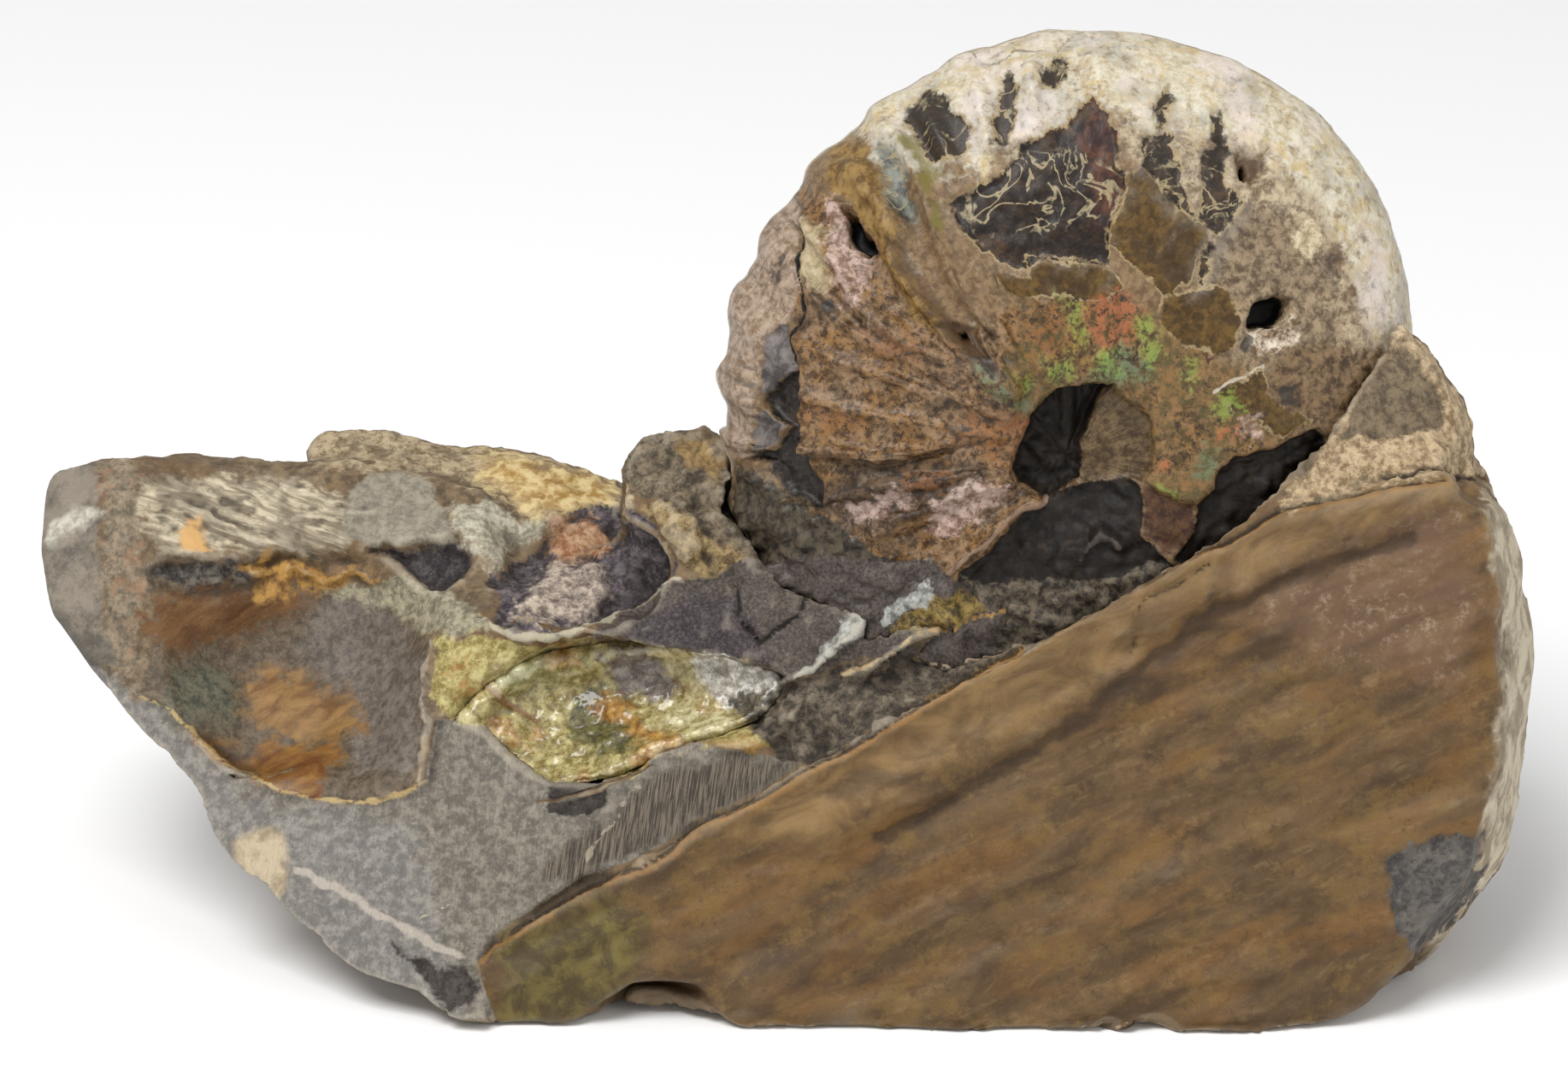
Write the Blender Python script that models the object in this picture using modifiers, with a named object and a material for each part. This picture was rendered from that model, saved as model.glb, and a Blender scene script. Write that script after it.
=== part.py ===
"""A scaphite ammonite (Hoploscaphites) standing in the broken concretion that it was found in.

The object is three things that grew or formed one on another: the coiled shell, the stone that holds
it, and a thin crust of yellow calcite in the trough beside the shell. Lengths are in millimetres in the
driving values and become metres where a mesh is made. +Z is up, +X runs along the stone towards the
shell, and -Y is the side that shows the shell's flank. The origin is under the middle of the object.
"""

import math

import bmesh
import bpy
from mathutils import Euler, Matrix, Vector, noise

MM = 0.001

# The middle of the object's box, measured on the stone's own working axes.
ORIGIN = Vector((0.1, 3.1, 0.0))

# The coiled shell: its axis leans back, and its radius is read every so many degrees round the axis.
COIL_CENTRE = Vector((19.4, 3.0, 39.4))
COIL_LEAN = math.radians(12.0)
COIL_RADIUS_AT = (
    (-180, 23.7), (-150, 24.0), (-120, 24.6), (-90, 25.4), (-60, 26.0), (-30, 26.6), (0, 27.4),
    (18, 28.4), (24, 29.2), (31, 30.0), (41, 30.8), (53, 31.1), (62, 30.8), (73, 30.4), (85, 30.0),
    (95, 29.4), (106, 28.2), (120, 27.0), (133, 26.0), (148, 25.3), (163, 25.0), (171, 24.2), (180, 23.7),
)
COIL_HALF_WIDTH = 11.5

# The umbilicus, the pit at the middle of the coil, sits a little off the axis.
HUB_OFFSET = Vector((1.2, -0.6))
UMBILICUS_RADIUS = 4.5
UMBILICUS_DEPTH = 3.6

# Ribs, counted round the coil. They are strong on the left and fade over the top to the right.
RIB_SPACING = 13.5
RIB_FIRST = 130.5
RIB_SWEEP = 15.0
RIB_HEIGHT = 0.8
RIB_STRENGTH_AT = ((-180, 1.0), (-150, 0.8), (-120, 0.4), (-90, 0.25), (0, 0.06), (40, 0.12), (80, 0.25),
                   (105, 0.55), (125, 1.0), (180, 1.0))
KNOB_HEIGHT = 0.7

# Where the outer shell has broken off the flank and the dark mould under it shows.
GROOVE_LINE = ((-19.6, 7.0), (-19.8, 4.5), (-20.2, 1.4), (-18.9, -2.4), (-16.7, -5.0), (-12.9, -7.5),
               (-10.4, -8.6))
GROOVE_WIDTH = 1.8
GROOVE_DEPTH = 2.0
BARE_MOULD = ((-8.4, -12.0), (-7.3, -10.0), (-1.1, -6.4), (6.4, -4.4), (8.4, -9.0), (7.0, -14.0), (-6.0, -15.0))
BARE_DEPTH = 1.2
SOCKET_GAP = 0.35

# The stone: convex lumps, each given by its corners, that are joined into one.
BROWN_BLOCK = (
    (-21.2, -16.6, 6.6), (-10.5, -15.5, 12.4), (2.1, -14.3, 19.4), (16.4, -12.8, 27.6), (30.0, -11.5, 35.1),
    (36.1, -10.9, 37.9), (42.3, -10.6, 39.6), (47.8, -10.5, 40.6), (50.9, -10.6, 39.8), (52.1, -12.6, 28.8),
    (52.1, -14.3, 19.4), (51.3, -15.4, 13.0), (45.5, -16.8, 5.3), (42.4, -17.8, 1.6), (34.3, -19.6, -1.0),
    (16.6, -17.9, -1.0), (-3.0, -17.7, -1.0), (-18.7, -17.7, -1.0), (53.5, -4.0, 35.1), (56.3, -2.0, 24.3),
    (56.2, -2.0, 17.3), (54.8, -4.0, 7.6), (50.4, -8.0, 3.1), (48.0, -6.0, -1.0), (55.0, 10.0, 24.0),
    (52.0, 14.0, 34.0), (54.0, 10.0, 10.0), (49.0, 14.0, -1.0), (44.0, 21.0, 3.0), (44.0, 21.5, 28.0),
    (36.0, 22.0, -1.0), (12.0, 24.5, 4.0), (14.0, 24.0, 26.0), (-14.0, 21.0, -1.0), (-12.0, 23.0, 8.0),
    (48.0, 0.0, 40.0),
)
SAWN_BLOCK = (
    (-52.1, 1.6, 21.4), (-47.9, -2.8, 16.3), (-42.5, -8.0, 10.6), (-37.2, -12.4, 6.1), (-30.7, -16.0, 3.0),
    (-24.9, -17.9, 1.2), (-20.5, -17.6, -1.0), (-21.0, -15.6, 6.0), (2.9, -10.4, 20.7), (8.5, -9.4, 23.8),
    (16.0, -10.4, 26.0), (-26.4, -1.4, 24.1), (-47.9, 4.5, 26.2), (-23.0, 2.0, 27.0), (8.0, 0.0, 27.0),
    (-46.0, 12.0, 15.0), (-34.0, 15.0, 5.0), (-22.0, 17.0, -1.0), (-44.0, 20.0, 24.0), (-30.0, 23.0, 12.0),
    (-14.0, 22.0, 20.0), (0.0, 20.0, 27.0), (-38.0, 10.0, 27.0), (10.0, 18.0, 8.0), (-10.0, 0.0, -1.0),
)
LEFT_END = (
    (-57.3, 8.0, 30.7), (-56.0, 11.0, 32.3), (-51.3, 11.0, 34.0), (-43.7, 13.0, 32.9), (-38.6, 14.0, 31.8),
    (-55.6, 5.0, 26.2), (-52.1, 1.0, 21.6), (-49.4, 0.3, 21.3), (-49.6, 5.6, 31.0), (-48.3, 4.6, 27.8),
    (-50.0, 8.0, 33.3), (-49.0, 6.0, 14.5), (-53.0, 14.0, 22.0), (-54.0, 19.0, 29.5), (-44.0, 20.0, 31.0),
    (-40.0, 10.0, 18.0), (-36.0, 14.0, 26.0), (-38.2, 6.0, 25.8),
)
PLATEAU = (
    (-51.0, 12.0, 32.8), (-43.7, 13.0, 32.6), (-34.0, 14.0, 32.2), (-22.7, 12.0, 31.9), (-22.1, 5.5, 28.4),
    (-38.2, 6.8, 26.5), (-29.1, 5.0, 25.6), (-23.2, 3.0, 23.5), (-47.9, 6.8, 27.0), (-46.0, 20.0, 26.0),
    (-20.0, 20.0, 24.0), (-20.0, 10.0, 12.0), (-44.0, 12.0, 16.0), (-28.0, 4.0, 14.0),
)
BACK_RIM = (
    (-36.9, 17.5, 32.2), (-36.4, 20.0, 32.8), (-29.2, 21.0, 32.3), (-21.1, 20.0, 31.6), (-13.1, 18.0, 30.2),
    (-12.9, 12.0, 29.1), (-20.7, 10.0, 29.9), (-35.0, 14.5, 31.6), (-37.0, 23.0, 27.0), (-26.0, 25.0, 24.0),
    (-8.0, 22.5, 22.0), (-30.0, 24.0, 12.0), (-8.0, 20.0, 8.0), (-6.0, 8.0, 24.0), (-30.0, 10.0, 14.0),
)
MIDDLE_ROCK = (
    (-12.6, 0.0, 31.1), (-3.0, 0.0, 31.1), (2.7, -2.0, 31.2), (10.9, -4.0, 31.0), (14.7, -7.0, 29.2),
    (9.9, -8.0, 31.0), (2.7, -9.0, 25.9), (0.8, -9.0, 24.6), (-3.6, -8.0, 25.5), (-10.0, -5.0, 26.3),
    (-20.8, -4.0, 26.2), (-16.0, 0.0, 28.6), (-14.0, 10.0, 27.0), (6.0, 10.0, 30.0), (-18.0, 2.0, 14.0),
    (10.0, -4.0, 14.0), (0.0, -8.2, 20.0), (-8.0, -5.5, 20.0), (16.0, 0.0, 30.0),
)
RUBBLE = (
    (15.2, -9.0, 30.9), (19.6, -9.2, 31.4), (16.5, -10.4, 28.8), (5.2, -11.0, 24.8), (10.0, -8.0, 29.5),
    (24.0, -11.0, 32.2), (20.0, -5.0, 31.0), (8.0, -6.0, 20.0), (22.0, -6.0, 24.0), (16.0, -12.0, 26.0),
)
SHARD = (
    (-12.5, 4.0, 36.4), (-10.7, 5.0, 38.4), (-7.5, 5.0, 37.9), (-5.2, 4.0, 39.1), (-3.0, 1.0, 36.2),
    (-1.7, -2.0, 31.2), (-7.4, -4.0, 32.0), (-12.2, -1.0, 34.9), (-12.0, -2.0, 29.0), (-12.0, 9.0, 34.0),
    (-5.0, 9.0, 36.0), (-12.0, 9.0, 24.0), (-2.0, 6.0, 24.0), (-3.0, -3.0, 26.0),
)
SHARD_FOOT = (
    (-3.0, 3.0, 37.3), (-1.1, 0.0, 36.2), (6.5, -3.0, 32.3), (5.2, -4.4, 31.8), (-1.1, -3.6, 31.0),
    (-3.0, 4.0, 28.0), (8.0, 2.0, 27.0), (-4.0, -3.0, 27.0), (6.0, -5.0, 26.0),
)
LEDGE = (
    (45.3, -1.0, 49.1), (48.5, -2.0, 45.5), (51.1, -2.2, 41.4), (51.4, -3.0, 38.6), (48.3, -6.6, 40.3),
    (40.0, -7.2, 42.0), (42.6, -4.0, 46.2), (34.0, -8.6, 37.4), (44.0, 9.0, 48.0), (48.0, 9.0, 44.0),
    (51.0, 8.0, 38.0), (38.0, 9.0, 40.0), (34.0, -6.0, 32.0), (50.0, -4.0, 32.0), (48.0, 10.0, 32.0),
)
LUMPS = {
    "brown_block": BROWN_BLOCK, "sawn_block": SAWN_BLOCK, "left_end": LEFT_END, "plateau": PLATEAU,
    "back_rim": BACK_RIM, "middle_rock": MIDDLE_ROCK, "rubble": RUBBLE, "shard": SHARD,
    "shard_foot": SHARD_FOOT, "ledge": LEDGE,
}

# Hollows broken out of the stone, as ellipsoids: centre, half sizes, and turns about X, Y and Z in degrees.
SCOOP = ((-37.0, -3.2, 25.4), (12.6, 9.4, 12.8), (-35.0, 0.0, -12.5))
PURPLE_HOLLOW = ((-15.3, -0.5, 29.6), (7.6, 5.6, 4.6), (0.0, 4.0, 0.0))
SMALL_PIT = ((-26.9, 2.5, 29.6), (4.4, 4.2, 3.2), (0.0, 0.0, 0.0))
TOP_NOTCH = ((51.0, -6.5, 39.4), (3.4, 7.0, 1.0), (0.0, 0.0, 0.0))
FOOT_NOTCH = ((-10.0, -19.5, 0.0), (6.5, 6.0, 4.2), (0.0, -8.0, 0.0))
HOLLOW_UNEVENNESS = 0.2
HOLLOWS = {
    "scoop": SCOOP, "purple_hollow": PURPLE_HOLLOW, "small_pit": SMALL_PIT, "top_notch": TOP_NOTCH,
    "foot_notch": FOOT_NOTCH,
}

# The brown face's skin stands proud of the rest as a lip: a groove is cut behind this line, its top edge.
# The groove's section is given as steps back (Y) and up (Z) from the line, at the size that follows each
# point of the line.
LIP_LINE = (
    ((-25.0, -17.6, 4.4), 0.05), ((-18.0, -16.3, 8.3), 1.0), ((-10.5, -15.5, 12.4), 0.8),
    ((2.1, -14.3, 19.4), 1.1), ((16.4, -12.8, 27.6), 1.0), ((30.0, -11.5, 35.1), 0.8),
    ((36.1, -10.9, 37.9), 0.6), ((43.5, -10.6, 40.2), 0.05),
)
LIP_GROOVE = ((0.7, 0.1), (1.6, -1.3), (4.2, 2.2), (2.2, 4.2))

# The trough beside the shell is cut clean, and the calcite crust is a thin bowl that lies in it.
TROUGH = ((-13.6, -8.4, 21.4), (14.0, 7.2, 5.3), (0.0, -10.0, 0.0))
TROUGH_TAPER = 0.4
CRUST_AXIS = Vector((0.0, 0.62, -0.78))
CRUST_FRONT = (Vector((-21.2, -16.6, 6.6)), Vector((-0.177, -0.8, 0.573)), -1.9)
CRUST_TOP = (24.0, 0.16)
CRUST_GAP = 0.3
CRUST_THICKNESS = 0.8
CRUST_RINGS = 5
CRUST_SPOKES = 26

# The stone's surface is roughened, then thinned to few faces.
STONE_VOXEL = 0.8
STONE_ROUGHNESS = 0.8
STONE_GRAIN = 7.0
STONE_TRIANGLES = 3200

# Places along the shell's profile, from the axis (0) to the outer edge (1), on each flank.
FRONT_SHARES = (0.06, 0.12, 0.145, 0.17, 0.2, 0.26, 0.36, 0.48, 0.6, 0.71, 0.8, 0.875, 0.935, 0.98, 1.0)
BACK_SHARES = (0.97, 0.91, 0.82, 0.68, 0.5, 0.3, 0.19, 0.13, 0.08)
RINGS_IN_VIEW = 84
RINGS_IN_STONE = 14


def clear_scene():
    for obj in list(bpy.data.objects):
        bpy.data.objects.remove(obj)


def make_material(name, colour, roughness):
    material = bpy.data.materials.new(name)
    material.use_nodes = True
    shader = material.node_tree.nodes["Principled BSDF"]
    shader.inputs["Base Color"].default_value = (*colour, 1.0)
    shader.inputs["Roughness"].default_value = roughness
    shader.inputs["Metallic"].default_value = 0.0
    return material


def add_object(name, mesh, collection, material=None):
    obj = bpy.data.objects.new(name, mesh)
    collection.objects.link(obj)
    if material:
        obj.data.materials.append(material)
    return obj


def add_collection(name):
    collection = bpy.data.collections.new(name)
    bpy.context.scene.collection.children.link(collection)
    return collection


def as_helper(obj):
    obj.hide_render = True
    obj.display_type = "WIRE"
    return obj


def baked(obj):
    """The object with its modifiers worked into its mesh."""
    bpy.context.view_layer.update()
    graph = bpy.context.evaluated_depsgraph_get()
    mesh = bpy.data.meshes.new_from_object(obj.evaluated_get(graph))
    obj.modifiers.clear()
    obj.data = mesh
    return obj


def combine(obj, other, operation):
    modifier = obj.modifiers.new(operation.lower(), "BOOLEAN")
    modifier.operation = operation
    modifier.solver = "EXACT"
    modifier.object = other
    return baked(obj)


def between(table, where):
    """The table's value at a place between two of its rows."""
    for (low, first), (high, second) in zip(table, table[1:]):
        if low <= where <= high:
            return first + (second - first) * (where - low) / (high - low)
    return table[-1][1]


def smooth(edge_low, edge_high, value):
    share = min(1.0, max(0.0, (value - edge_low) / (edge_high - edge_low)))
    return share * share * (3.0 - 2.0 * share)


def wrapped(angle):
    return (angle + 180.0) % 360.0 - 180.0


def coil_radius(angle):
    """The shell's outer radius, averaged over a few degrees so that its outline has no corners."""
    steps = (-8, -4, 0, 4, 8)
    return sum(between(COIL_RADIUS_AT, wrapped(angle + step)) for step in steps) / len(steps)


def half_width(share, radius):
    """Half the shell's thickness where share runs from 0 at its axis to 1 at its outer edge."""
    dome = (1.0 - share**2.7) ** 0.52 if share < 1.0 else 0.0
    wall = smooth(0.72 * UMBILICUS_RADIUS, 1.15 * UMBILICUS_RADIUS, share * radius)
    return COIL_HALF_WIDTH * dome - UMBILICUS_DEPTH * (1.0 - wall)


def rib_relief(angle, share):
    """How far the ribs stand out, from -1 in a furrow to 1 on a rib; more, finer ribs near the edge."""
    phase = (angle + RIB_SWEEP * (share**2 - 1.0) - RIB_FIRST) / RIB_SPACING
    waver = 0.12 * math.sin(0.9 * angle) + 0.1 * math.sin(0.37 * angle + 1.0)
    main = math.cos(2.0 * math.pi * (phase + 0.3 * waver))
    fine = math.cos(4.0 * math.pi * phase)
    outer = smooth(0.45, 0.8, share)
    strength = between(RIB_STRENGTH_AT, angle) * (1.0 + waver)
    return strength * smooth(0.17, 0.5, share) * (main * (1.0 - 0.35 * outer) + 0.35 * outer * fine)


def distance_to_line(point, line):
    nearest = 1e9
    for start, end in zip(line, line[1:]):
        start, end = Vector(start), Vector(end)
        along = end - start
        share = min(1.0, max(0.0, (point - start).dot(along) / along.length_squared))
        nearest = min(nearest, (point - start - along * share).length)
    return nearest


def inside_outline(point, outline):
    """How deep a point lies inside a convex outline that runs clockwise, negative outside it."""
    depth = 1e9
    for start, end in zip(outline, outline[1:] + outline[:1]):
        start, end = Vector(start), Vector(end)
        along = (end - start).normalized()
        depth = min(depth, (point - start).dot(Vector((along.y, -along.x))))
    return depth


def front_loss(point):
    """How much shell has come off the front flank at a point of the coil's plane."""
    groove = 1.0 - smooth(0.4 * GROOVE_WIDTH, GROOVE_WIDTH, distance_to_line(point, GROOVE_LINE))
    bare = smooth(-0.4, 0.8, inside_outline(point, BARE_MOULD))
    return max(GROOVE_DEPTH * groove, BARE_DEPTH * bare)


def ring_angles():
    """Angles round the coil, close together where the shell is in view."""
    hidden = [-135.0 + 126.0 * step / RINGS_IN_STONE for step in range(RINGS_IN_STONE)]
    in_view = [-9.0 + 234.0 * step / RINGS_IN_VIEW for step in range(RINGS_IN_VIEW)]
    return hidden + in_view


def coil_point(angle, share, side, with_losses, grow):
    """A point of the shell's surface: side is -1 on the front flank and 1 on the back one."""
    outward = Vector((math.cos(math.radians(angle)), math.sin(math.radians(angle))))
    radius = coil_radius(angle)
    relief = rib_relief(angle, share)
    edge = smooth(0.8, 1.0, share)
    knob = KNOB_HEIGHT * max(0.0, relief) * edge
    reach = radius * share + edge * (grow + RIB_HEIGHT * relief + knob)
    flat = outward * reach + HUB_OFFSET * (1.0 - share)
    thick = half_width(share, radius) + grow * (1.0 - 0.4 * edge) + RIB_HEIGHT * relief * (1.0 - edge)
    if with_losses and side < 0:
        thick -= front_loss(flat) * (1.0 - smooth(0.93, 0.99, share))
    thick = max(0.0, thick) if share < 1.0 else 0.0
    return Vector((flat.x, side * thick, flat.y)) * MM


def coil_mesh(name, with_losses, grow):
    """The shell as a loft: one profile from front to back at each angle, closed at the two ends of its axis."""
    bm = bmesh.new()
    row = [(share, -1.0) for share in FRONT_SHARES] + [(share, 1.0) for share in BACK_SHARES]
    rings = []
    for angle in map(wrapped, ring_angles()):
        rings.append([bm.verts.new(coil_point(angle, share, side, with_losses, grow)) for share, side in row])
    hubs = []
    for side in (-1.0, 1.0):
        thick = side * (half_width(0.0, COIL_RADIUS_AT[0][1]) + grow)
        hubs.append(bm.verts.new(Vector((HUB_OFFSET.x, thick, HUB_OFFSET.y)) * MM))
    for ring, following in zip(rings, rings[1:] + rings[:1]):
        bm.faces.new((hubs[0], ring[0], following[0]))
        bm.faces.new((following[-1], ring[-1], hubs[1]))
        for index in range(len(row) - 1):
            bm.faces.new((ring[index], ring[index + 1], following[index + 1], following[index]))
    bmesh.ops.recalc_face_normals(bm, faces=bm.faces)
    bm.transform(Matrix.Translation((COIL_CENTRE - ORIGIN) * MM) @ Matrix.Rotation(-COIL_LEAN, 4, "X"))
    return finished_mesh(name, bm)


def finished_mesh(name, bm):
    mesh = bpy.data.meshes.new(name)
    bm.to_mesh(mesh)
    bm.free()
    return mesh


def hull_mesh(name, corners):
    bm = bmesh.new()
    for corner in corners:
        bm.verts.new((Vector(corner) - ORIGIN) * MM)
    made = bmesh.ops.convex_hull(bm, input=bm.verts)
    unused = [piece for piece in made["geom_interior"] if isinstance(piece, bmesh.types.BMVert)]
    bmesh.ops.delete(bm, geom=unused, context="VERTS")
    bmesh.ops.recalc_face_normals(bm, faces=bm.faces)
    return finished_mesh(name, bm)


def uneven(direction, taper):
    """The direction's point on an uneven ball, which the taper makes lower towards +X and higher towards -X."""
    point = direction * (1.0 + HOLLOW_UNEVENNESS * noise.noise(direction * 1.5 + Vector((0.3, 5.1, 2.2))))
    point.z *= 1.0 - taper * direction.x
    return point


def hollow_matrix(centre, turns):
    turn = Euler([math.radians(angle) for angle in turns]).to_matrix().to_4x4()
    return Matrix.Translation((Vector(centre) - ORIGIN) * MM) @ turn


def ellipsoid_mesh(name, centre, half_sizes, turns, taper=0.0):
    bm = bmesh.new()
    bmesh.ops.create_uvsphere(bm, u_segments=32, v_segments=18, radius=1.0)
    for vertex in bm.verts:
        vertex.co = uneven(vertex.co.copy(), taper)
    sizes = [size * MM for size in half_sizes]
    bm.transform(hollow_matrix(centre, turns) @ Matrix.Diagonal((*sizes, 1.0)))
    return finished_mesh(name, bm)


def crust_reach(centre, half_sizes, turn, spoke):
    """The angle from the bowl's axis at which the crust ends, on one spoke."""
    plane_point, plane_normal, behind = CRUST_FRONT
    for step in range(20, 140):
        angle = math.radians(step)
        point = Vector(centre) + turn @ crust_direction(angle, spoke, half_sizes)
        if (point - plane_point).dot(plane_normal) > behind:
            break
        if point.z > CRUST_TOP[0] + CRUST_TOP[1] * (point.x - centre[0]):
            break
    return angle


def crust_direction(angle, spoke, half_sizes):
    across = Vector((1.0, 0.0, 0.0))
    up = CRUST_AXIS.normalized().cross(across)
    sideways = across * math.cos(spoke) + up * math.sin(spoke)
    ray = CRUST_AXIS.normalized() * math.cos(angle) + sideways * math.sin(angle)
    return Vector([part * size for part, size in zip(uneven(ray, TROUGH_TAPER), half_sizes)])


def crust_mesh(name):
    """A thin bowl that lies in the trough: a smooth under side and a lumpy upper side, closed at its rim."""
    centre, half_sizes, turns = TROUGH
    turn = Euler([math.radians(angle) for angle in turns]).to_matrix()
    bm = bmesh.new()

    def corner(angle, spoke, inner):
        lumps = noise.noise(Vector((4.0 * math.cos(spoke) * angle, 4.0 * math.sin(spoke) * angle, 3.0)))
        depth = CRUST_GAP + (CRUST_THICKNESS * (1.0 + 0.7 * lumps) if inner else 0.0)
        sizes = [size - depth for size in half_sizes]
        point = Vector(centre) + turn @ crust_direction(angle, spoke, sizes)
        return bm.verts.new((point - ORIGIN) * MM)

    spokes = [2.0 * math.pi * step / CRUST_SPOKES for step in range(CRUST_SPOKES)]
    reaches = [crust_reach(centre, half_sizes, turn, spoke) for spoke in spokes]
    sides = []
    for inner in (False, True):
        middle = corner(0.0, 0.0, inner)
        rings = []
        for ring in range(1, CRUST_RINGS + 1):
            share = ring / CRUST_RINGS
            rings.append([corner(reach * share, spoke, inner) for reach, spoke in zip(reaches, spokes)])
        sides.append(rings)
        for index in range(CRUST_SPOKES):
            after = (index + 1) % CRUST_SPOKES
            bm.faces.new((middle, rings[0][index], rings[0][after]))
            for near, far in zip(rings, rings[1:]):
                bm.faces.new((near[index], far[index], far[after], near[after]))
    for index in range(CRUST_SPOKES):
        after = (index + 1) % CRUST_SPOKES
        bm.faces.new((sides[0][-1][index], sides[1][-1][index], sides[1][-1][after], sides[0][-1][after]))
    bmesh.ops.recalc_face_normals(bm, faces=bm.faces)
    return finished_mesh(name, bm)


def groove_mesh(name, line, section):
    """A bar with the given section, swept along the line."""
    bm = bmesh.new()
    rings = []
    for corner, size in line:
        place = Vector(corner) - ORIGIN
        rings.append([bm.verts.new((place + Vector((0.0, back, up)) * size) * MM) for back, up in section])
    for ring, following in zip(rings, rings[1:]):
        for index in range(len(section)):
            after = (index + 1) % len(section)
            bm.faces.new((ring[index], ring[after], following[after], following[index]))
    bm.faces.new(rings[0])
    bm.faces.new(rings[-1])
    bmesh.ops.recalc_face_normals(bm, faces=bm.faces)
    return finished_mesh(name, bm)


def roughen(obj):
    """Moves each point of the stone a little along its normal, by smooth noise."""
    mesh = obj.data
    normals = [vertex.normal.copy() for vertex in mesh.vertices]
    for vertex, normal in zip(mesh.vertices, normals):
        place = (vertex.co / MM + ORIGIN) / STONE_GRAIN
        push = noise.noise(place) + 0.5 * noise.noise(place * 2.3)
        vertex.co += normal * (push * STONE_ROUGHNESS * MM)


def cut_below_floor(obj):
    """Cuts the stone flat where it rests."""
    bm = bmesh.new()
    bm.from_mesh(obj.data)
    geometry = bm.verts[:] + bm.edges[:] + bm.faces[:]
    made = bmesh.ops.bisect_plane(
        bm, geom=geometry, dist=1e-7, plane_co=(0, 0, 0), plane_no=(0, 0, -1), clear_outer=True
    )
    rim = [piece for piece in made["geom_cut"] if isinstance(piece, bmesh.types.BMEdge)]
    bmesh.ops.holes_fill(bm, edges=rim)
    bmesh.ops.recalc_face_normals(bm, faces=bm.faces)
    bm.to_mesh(obj.data)
    bm.free()


def make_stone(parts, cutters, material):
    names = list(LUMPS)
    stone = add_object("matrix", hull_mesh(names[0], LUMPS[names[0]]), parts, material)
    for name in names[1:]:
        combine(stone, as_helper(add_object(name, hull_mesh(name, LUMPS[name]), cutters)), "UNION")
    for name, (centre, sizes, turns) in HOLLOWS.items():
        mesh = ellipsoid_mesh(name, centre, sizes, turns)
        combine(stone, as_helper(add_object(name, mesh, cutters)), "DIFFERENCE")
    remesh = stone.modifiers.new("even", "REMESH")
    remesh.mode = "VOXEL"
    remesh.voxel_size = STONE_VOXEL * MM
    baked(stone)
    roughen(stone)
    thin = stone.modifiers.new("thin", "DECIMATE")
    thin.ratio = STONE_TRIANGLES / (2 * len(stone.data.polygons))
    baked(stone)
    cut_below_floor(stone)
    groove = as_helper(add_object("lip_groove", groove_mesh("lip_groove", LIP_LINE, LIP_GROOVE), cutters))
    combine(stone, groove, "DIFFERENCE")
    trough = as_helper(add_object("trough", ellipsoid_mesh("trough", *TROUGH, TROUGH_TAPER), cutters))
    combine(stone, trough, "DIFFERENCE")
    socket = as_helper(add_object("socket", coil_mesh("socket", False, SOCKET_GAP), cutters))
    combine(stone, socket, "DIFFERENCE")
    stone.data.set_sharp_from_angle(angle=math.radians(35))
    return stone


def make_ammonite(parts, material):
    shell = add_object("ammonite", coil_mesh("ammonite", True, 0.0), parts, material)
    shell.data.shade_smooth()
    return shell


def make_crust(parts, material):
    crust = add_object("calcite_crust", crust_mesh("calcite_crust"), parts, material)
    crust.data.set_sharp_from_angle(angle=math.radians(35))
    return crust


def main():
    clear_scene()
    parts = add_collection("hoploscaphites_ammonite")
    cutters = add_collection("cutters")
    stone_look = make_material("stone", (0.30, 0.21, 0.13), 0.75)
    shell_look = make_material("shell", (0.52, 0.44, 0.33), 0.45)
    calcite_look = make_material("calcite", (0.55, 0.47, 0.20), 0.3)
    make_stone(parts, cutters, stone_look)
    make_ammonite(parts, shell_look)
    make_crust(parts, calcite_look)


main()
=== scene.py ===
"""The looks of a scaphite ammonite (Hoploscaphites) that stands in its broken stone.

Lengths are in millimetres in the named values, and become metres where a mesh is made. What the
photograph shows is placed by its pixels, in a frame of 1834 by 1254: each point of a mesh that faces the
photograph's camera has its pixel worked out, and outlines drawn in pixels say what is there.
"""

import math

import bpy
import numpy as np
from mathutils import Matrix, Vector, noise


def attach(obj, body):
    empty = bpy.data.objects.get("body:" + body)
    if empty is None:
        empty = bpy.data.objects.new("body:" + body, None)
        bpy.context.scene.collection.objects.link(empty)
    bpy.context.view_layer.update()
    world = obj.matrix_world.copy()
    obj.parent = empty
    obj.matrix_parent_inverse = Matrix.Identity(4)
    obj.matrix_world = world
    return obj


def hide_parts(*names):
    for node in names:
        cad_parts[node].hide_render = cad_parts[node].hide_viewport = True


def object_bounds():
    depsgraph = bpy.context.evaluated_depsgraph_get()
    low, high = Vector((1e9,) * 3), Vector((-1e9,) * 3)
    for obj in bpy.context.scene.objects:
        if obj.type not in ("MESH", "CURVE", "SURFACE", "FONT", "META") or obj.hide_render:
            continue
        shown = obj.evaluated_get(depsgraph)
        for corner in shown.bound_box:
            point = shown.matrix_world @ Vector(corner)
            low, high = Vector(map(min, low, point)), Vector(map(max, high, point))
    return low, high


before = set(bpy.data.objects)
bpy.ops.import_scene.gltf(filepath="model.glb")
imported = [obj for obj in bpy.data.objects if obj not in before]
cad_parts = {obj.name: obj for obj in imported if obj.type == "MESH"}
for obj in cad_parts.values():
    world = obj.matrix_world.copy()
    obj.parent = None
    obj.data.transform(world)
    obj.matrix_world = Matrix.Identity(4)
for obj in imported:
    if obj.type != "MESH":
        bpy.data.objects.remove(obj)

CAD_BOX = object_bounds()
MM = 0.001

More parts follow.
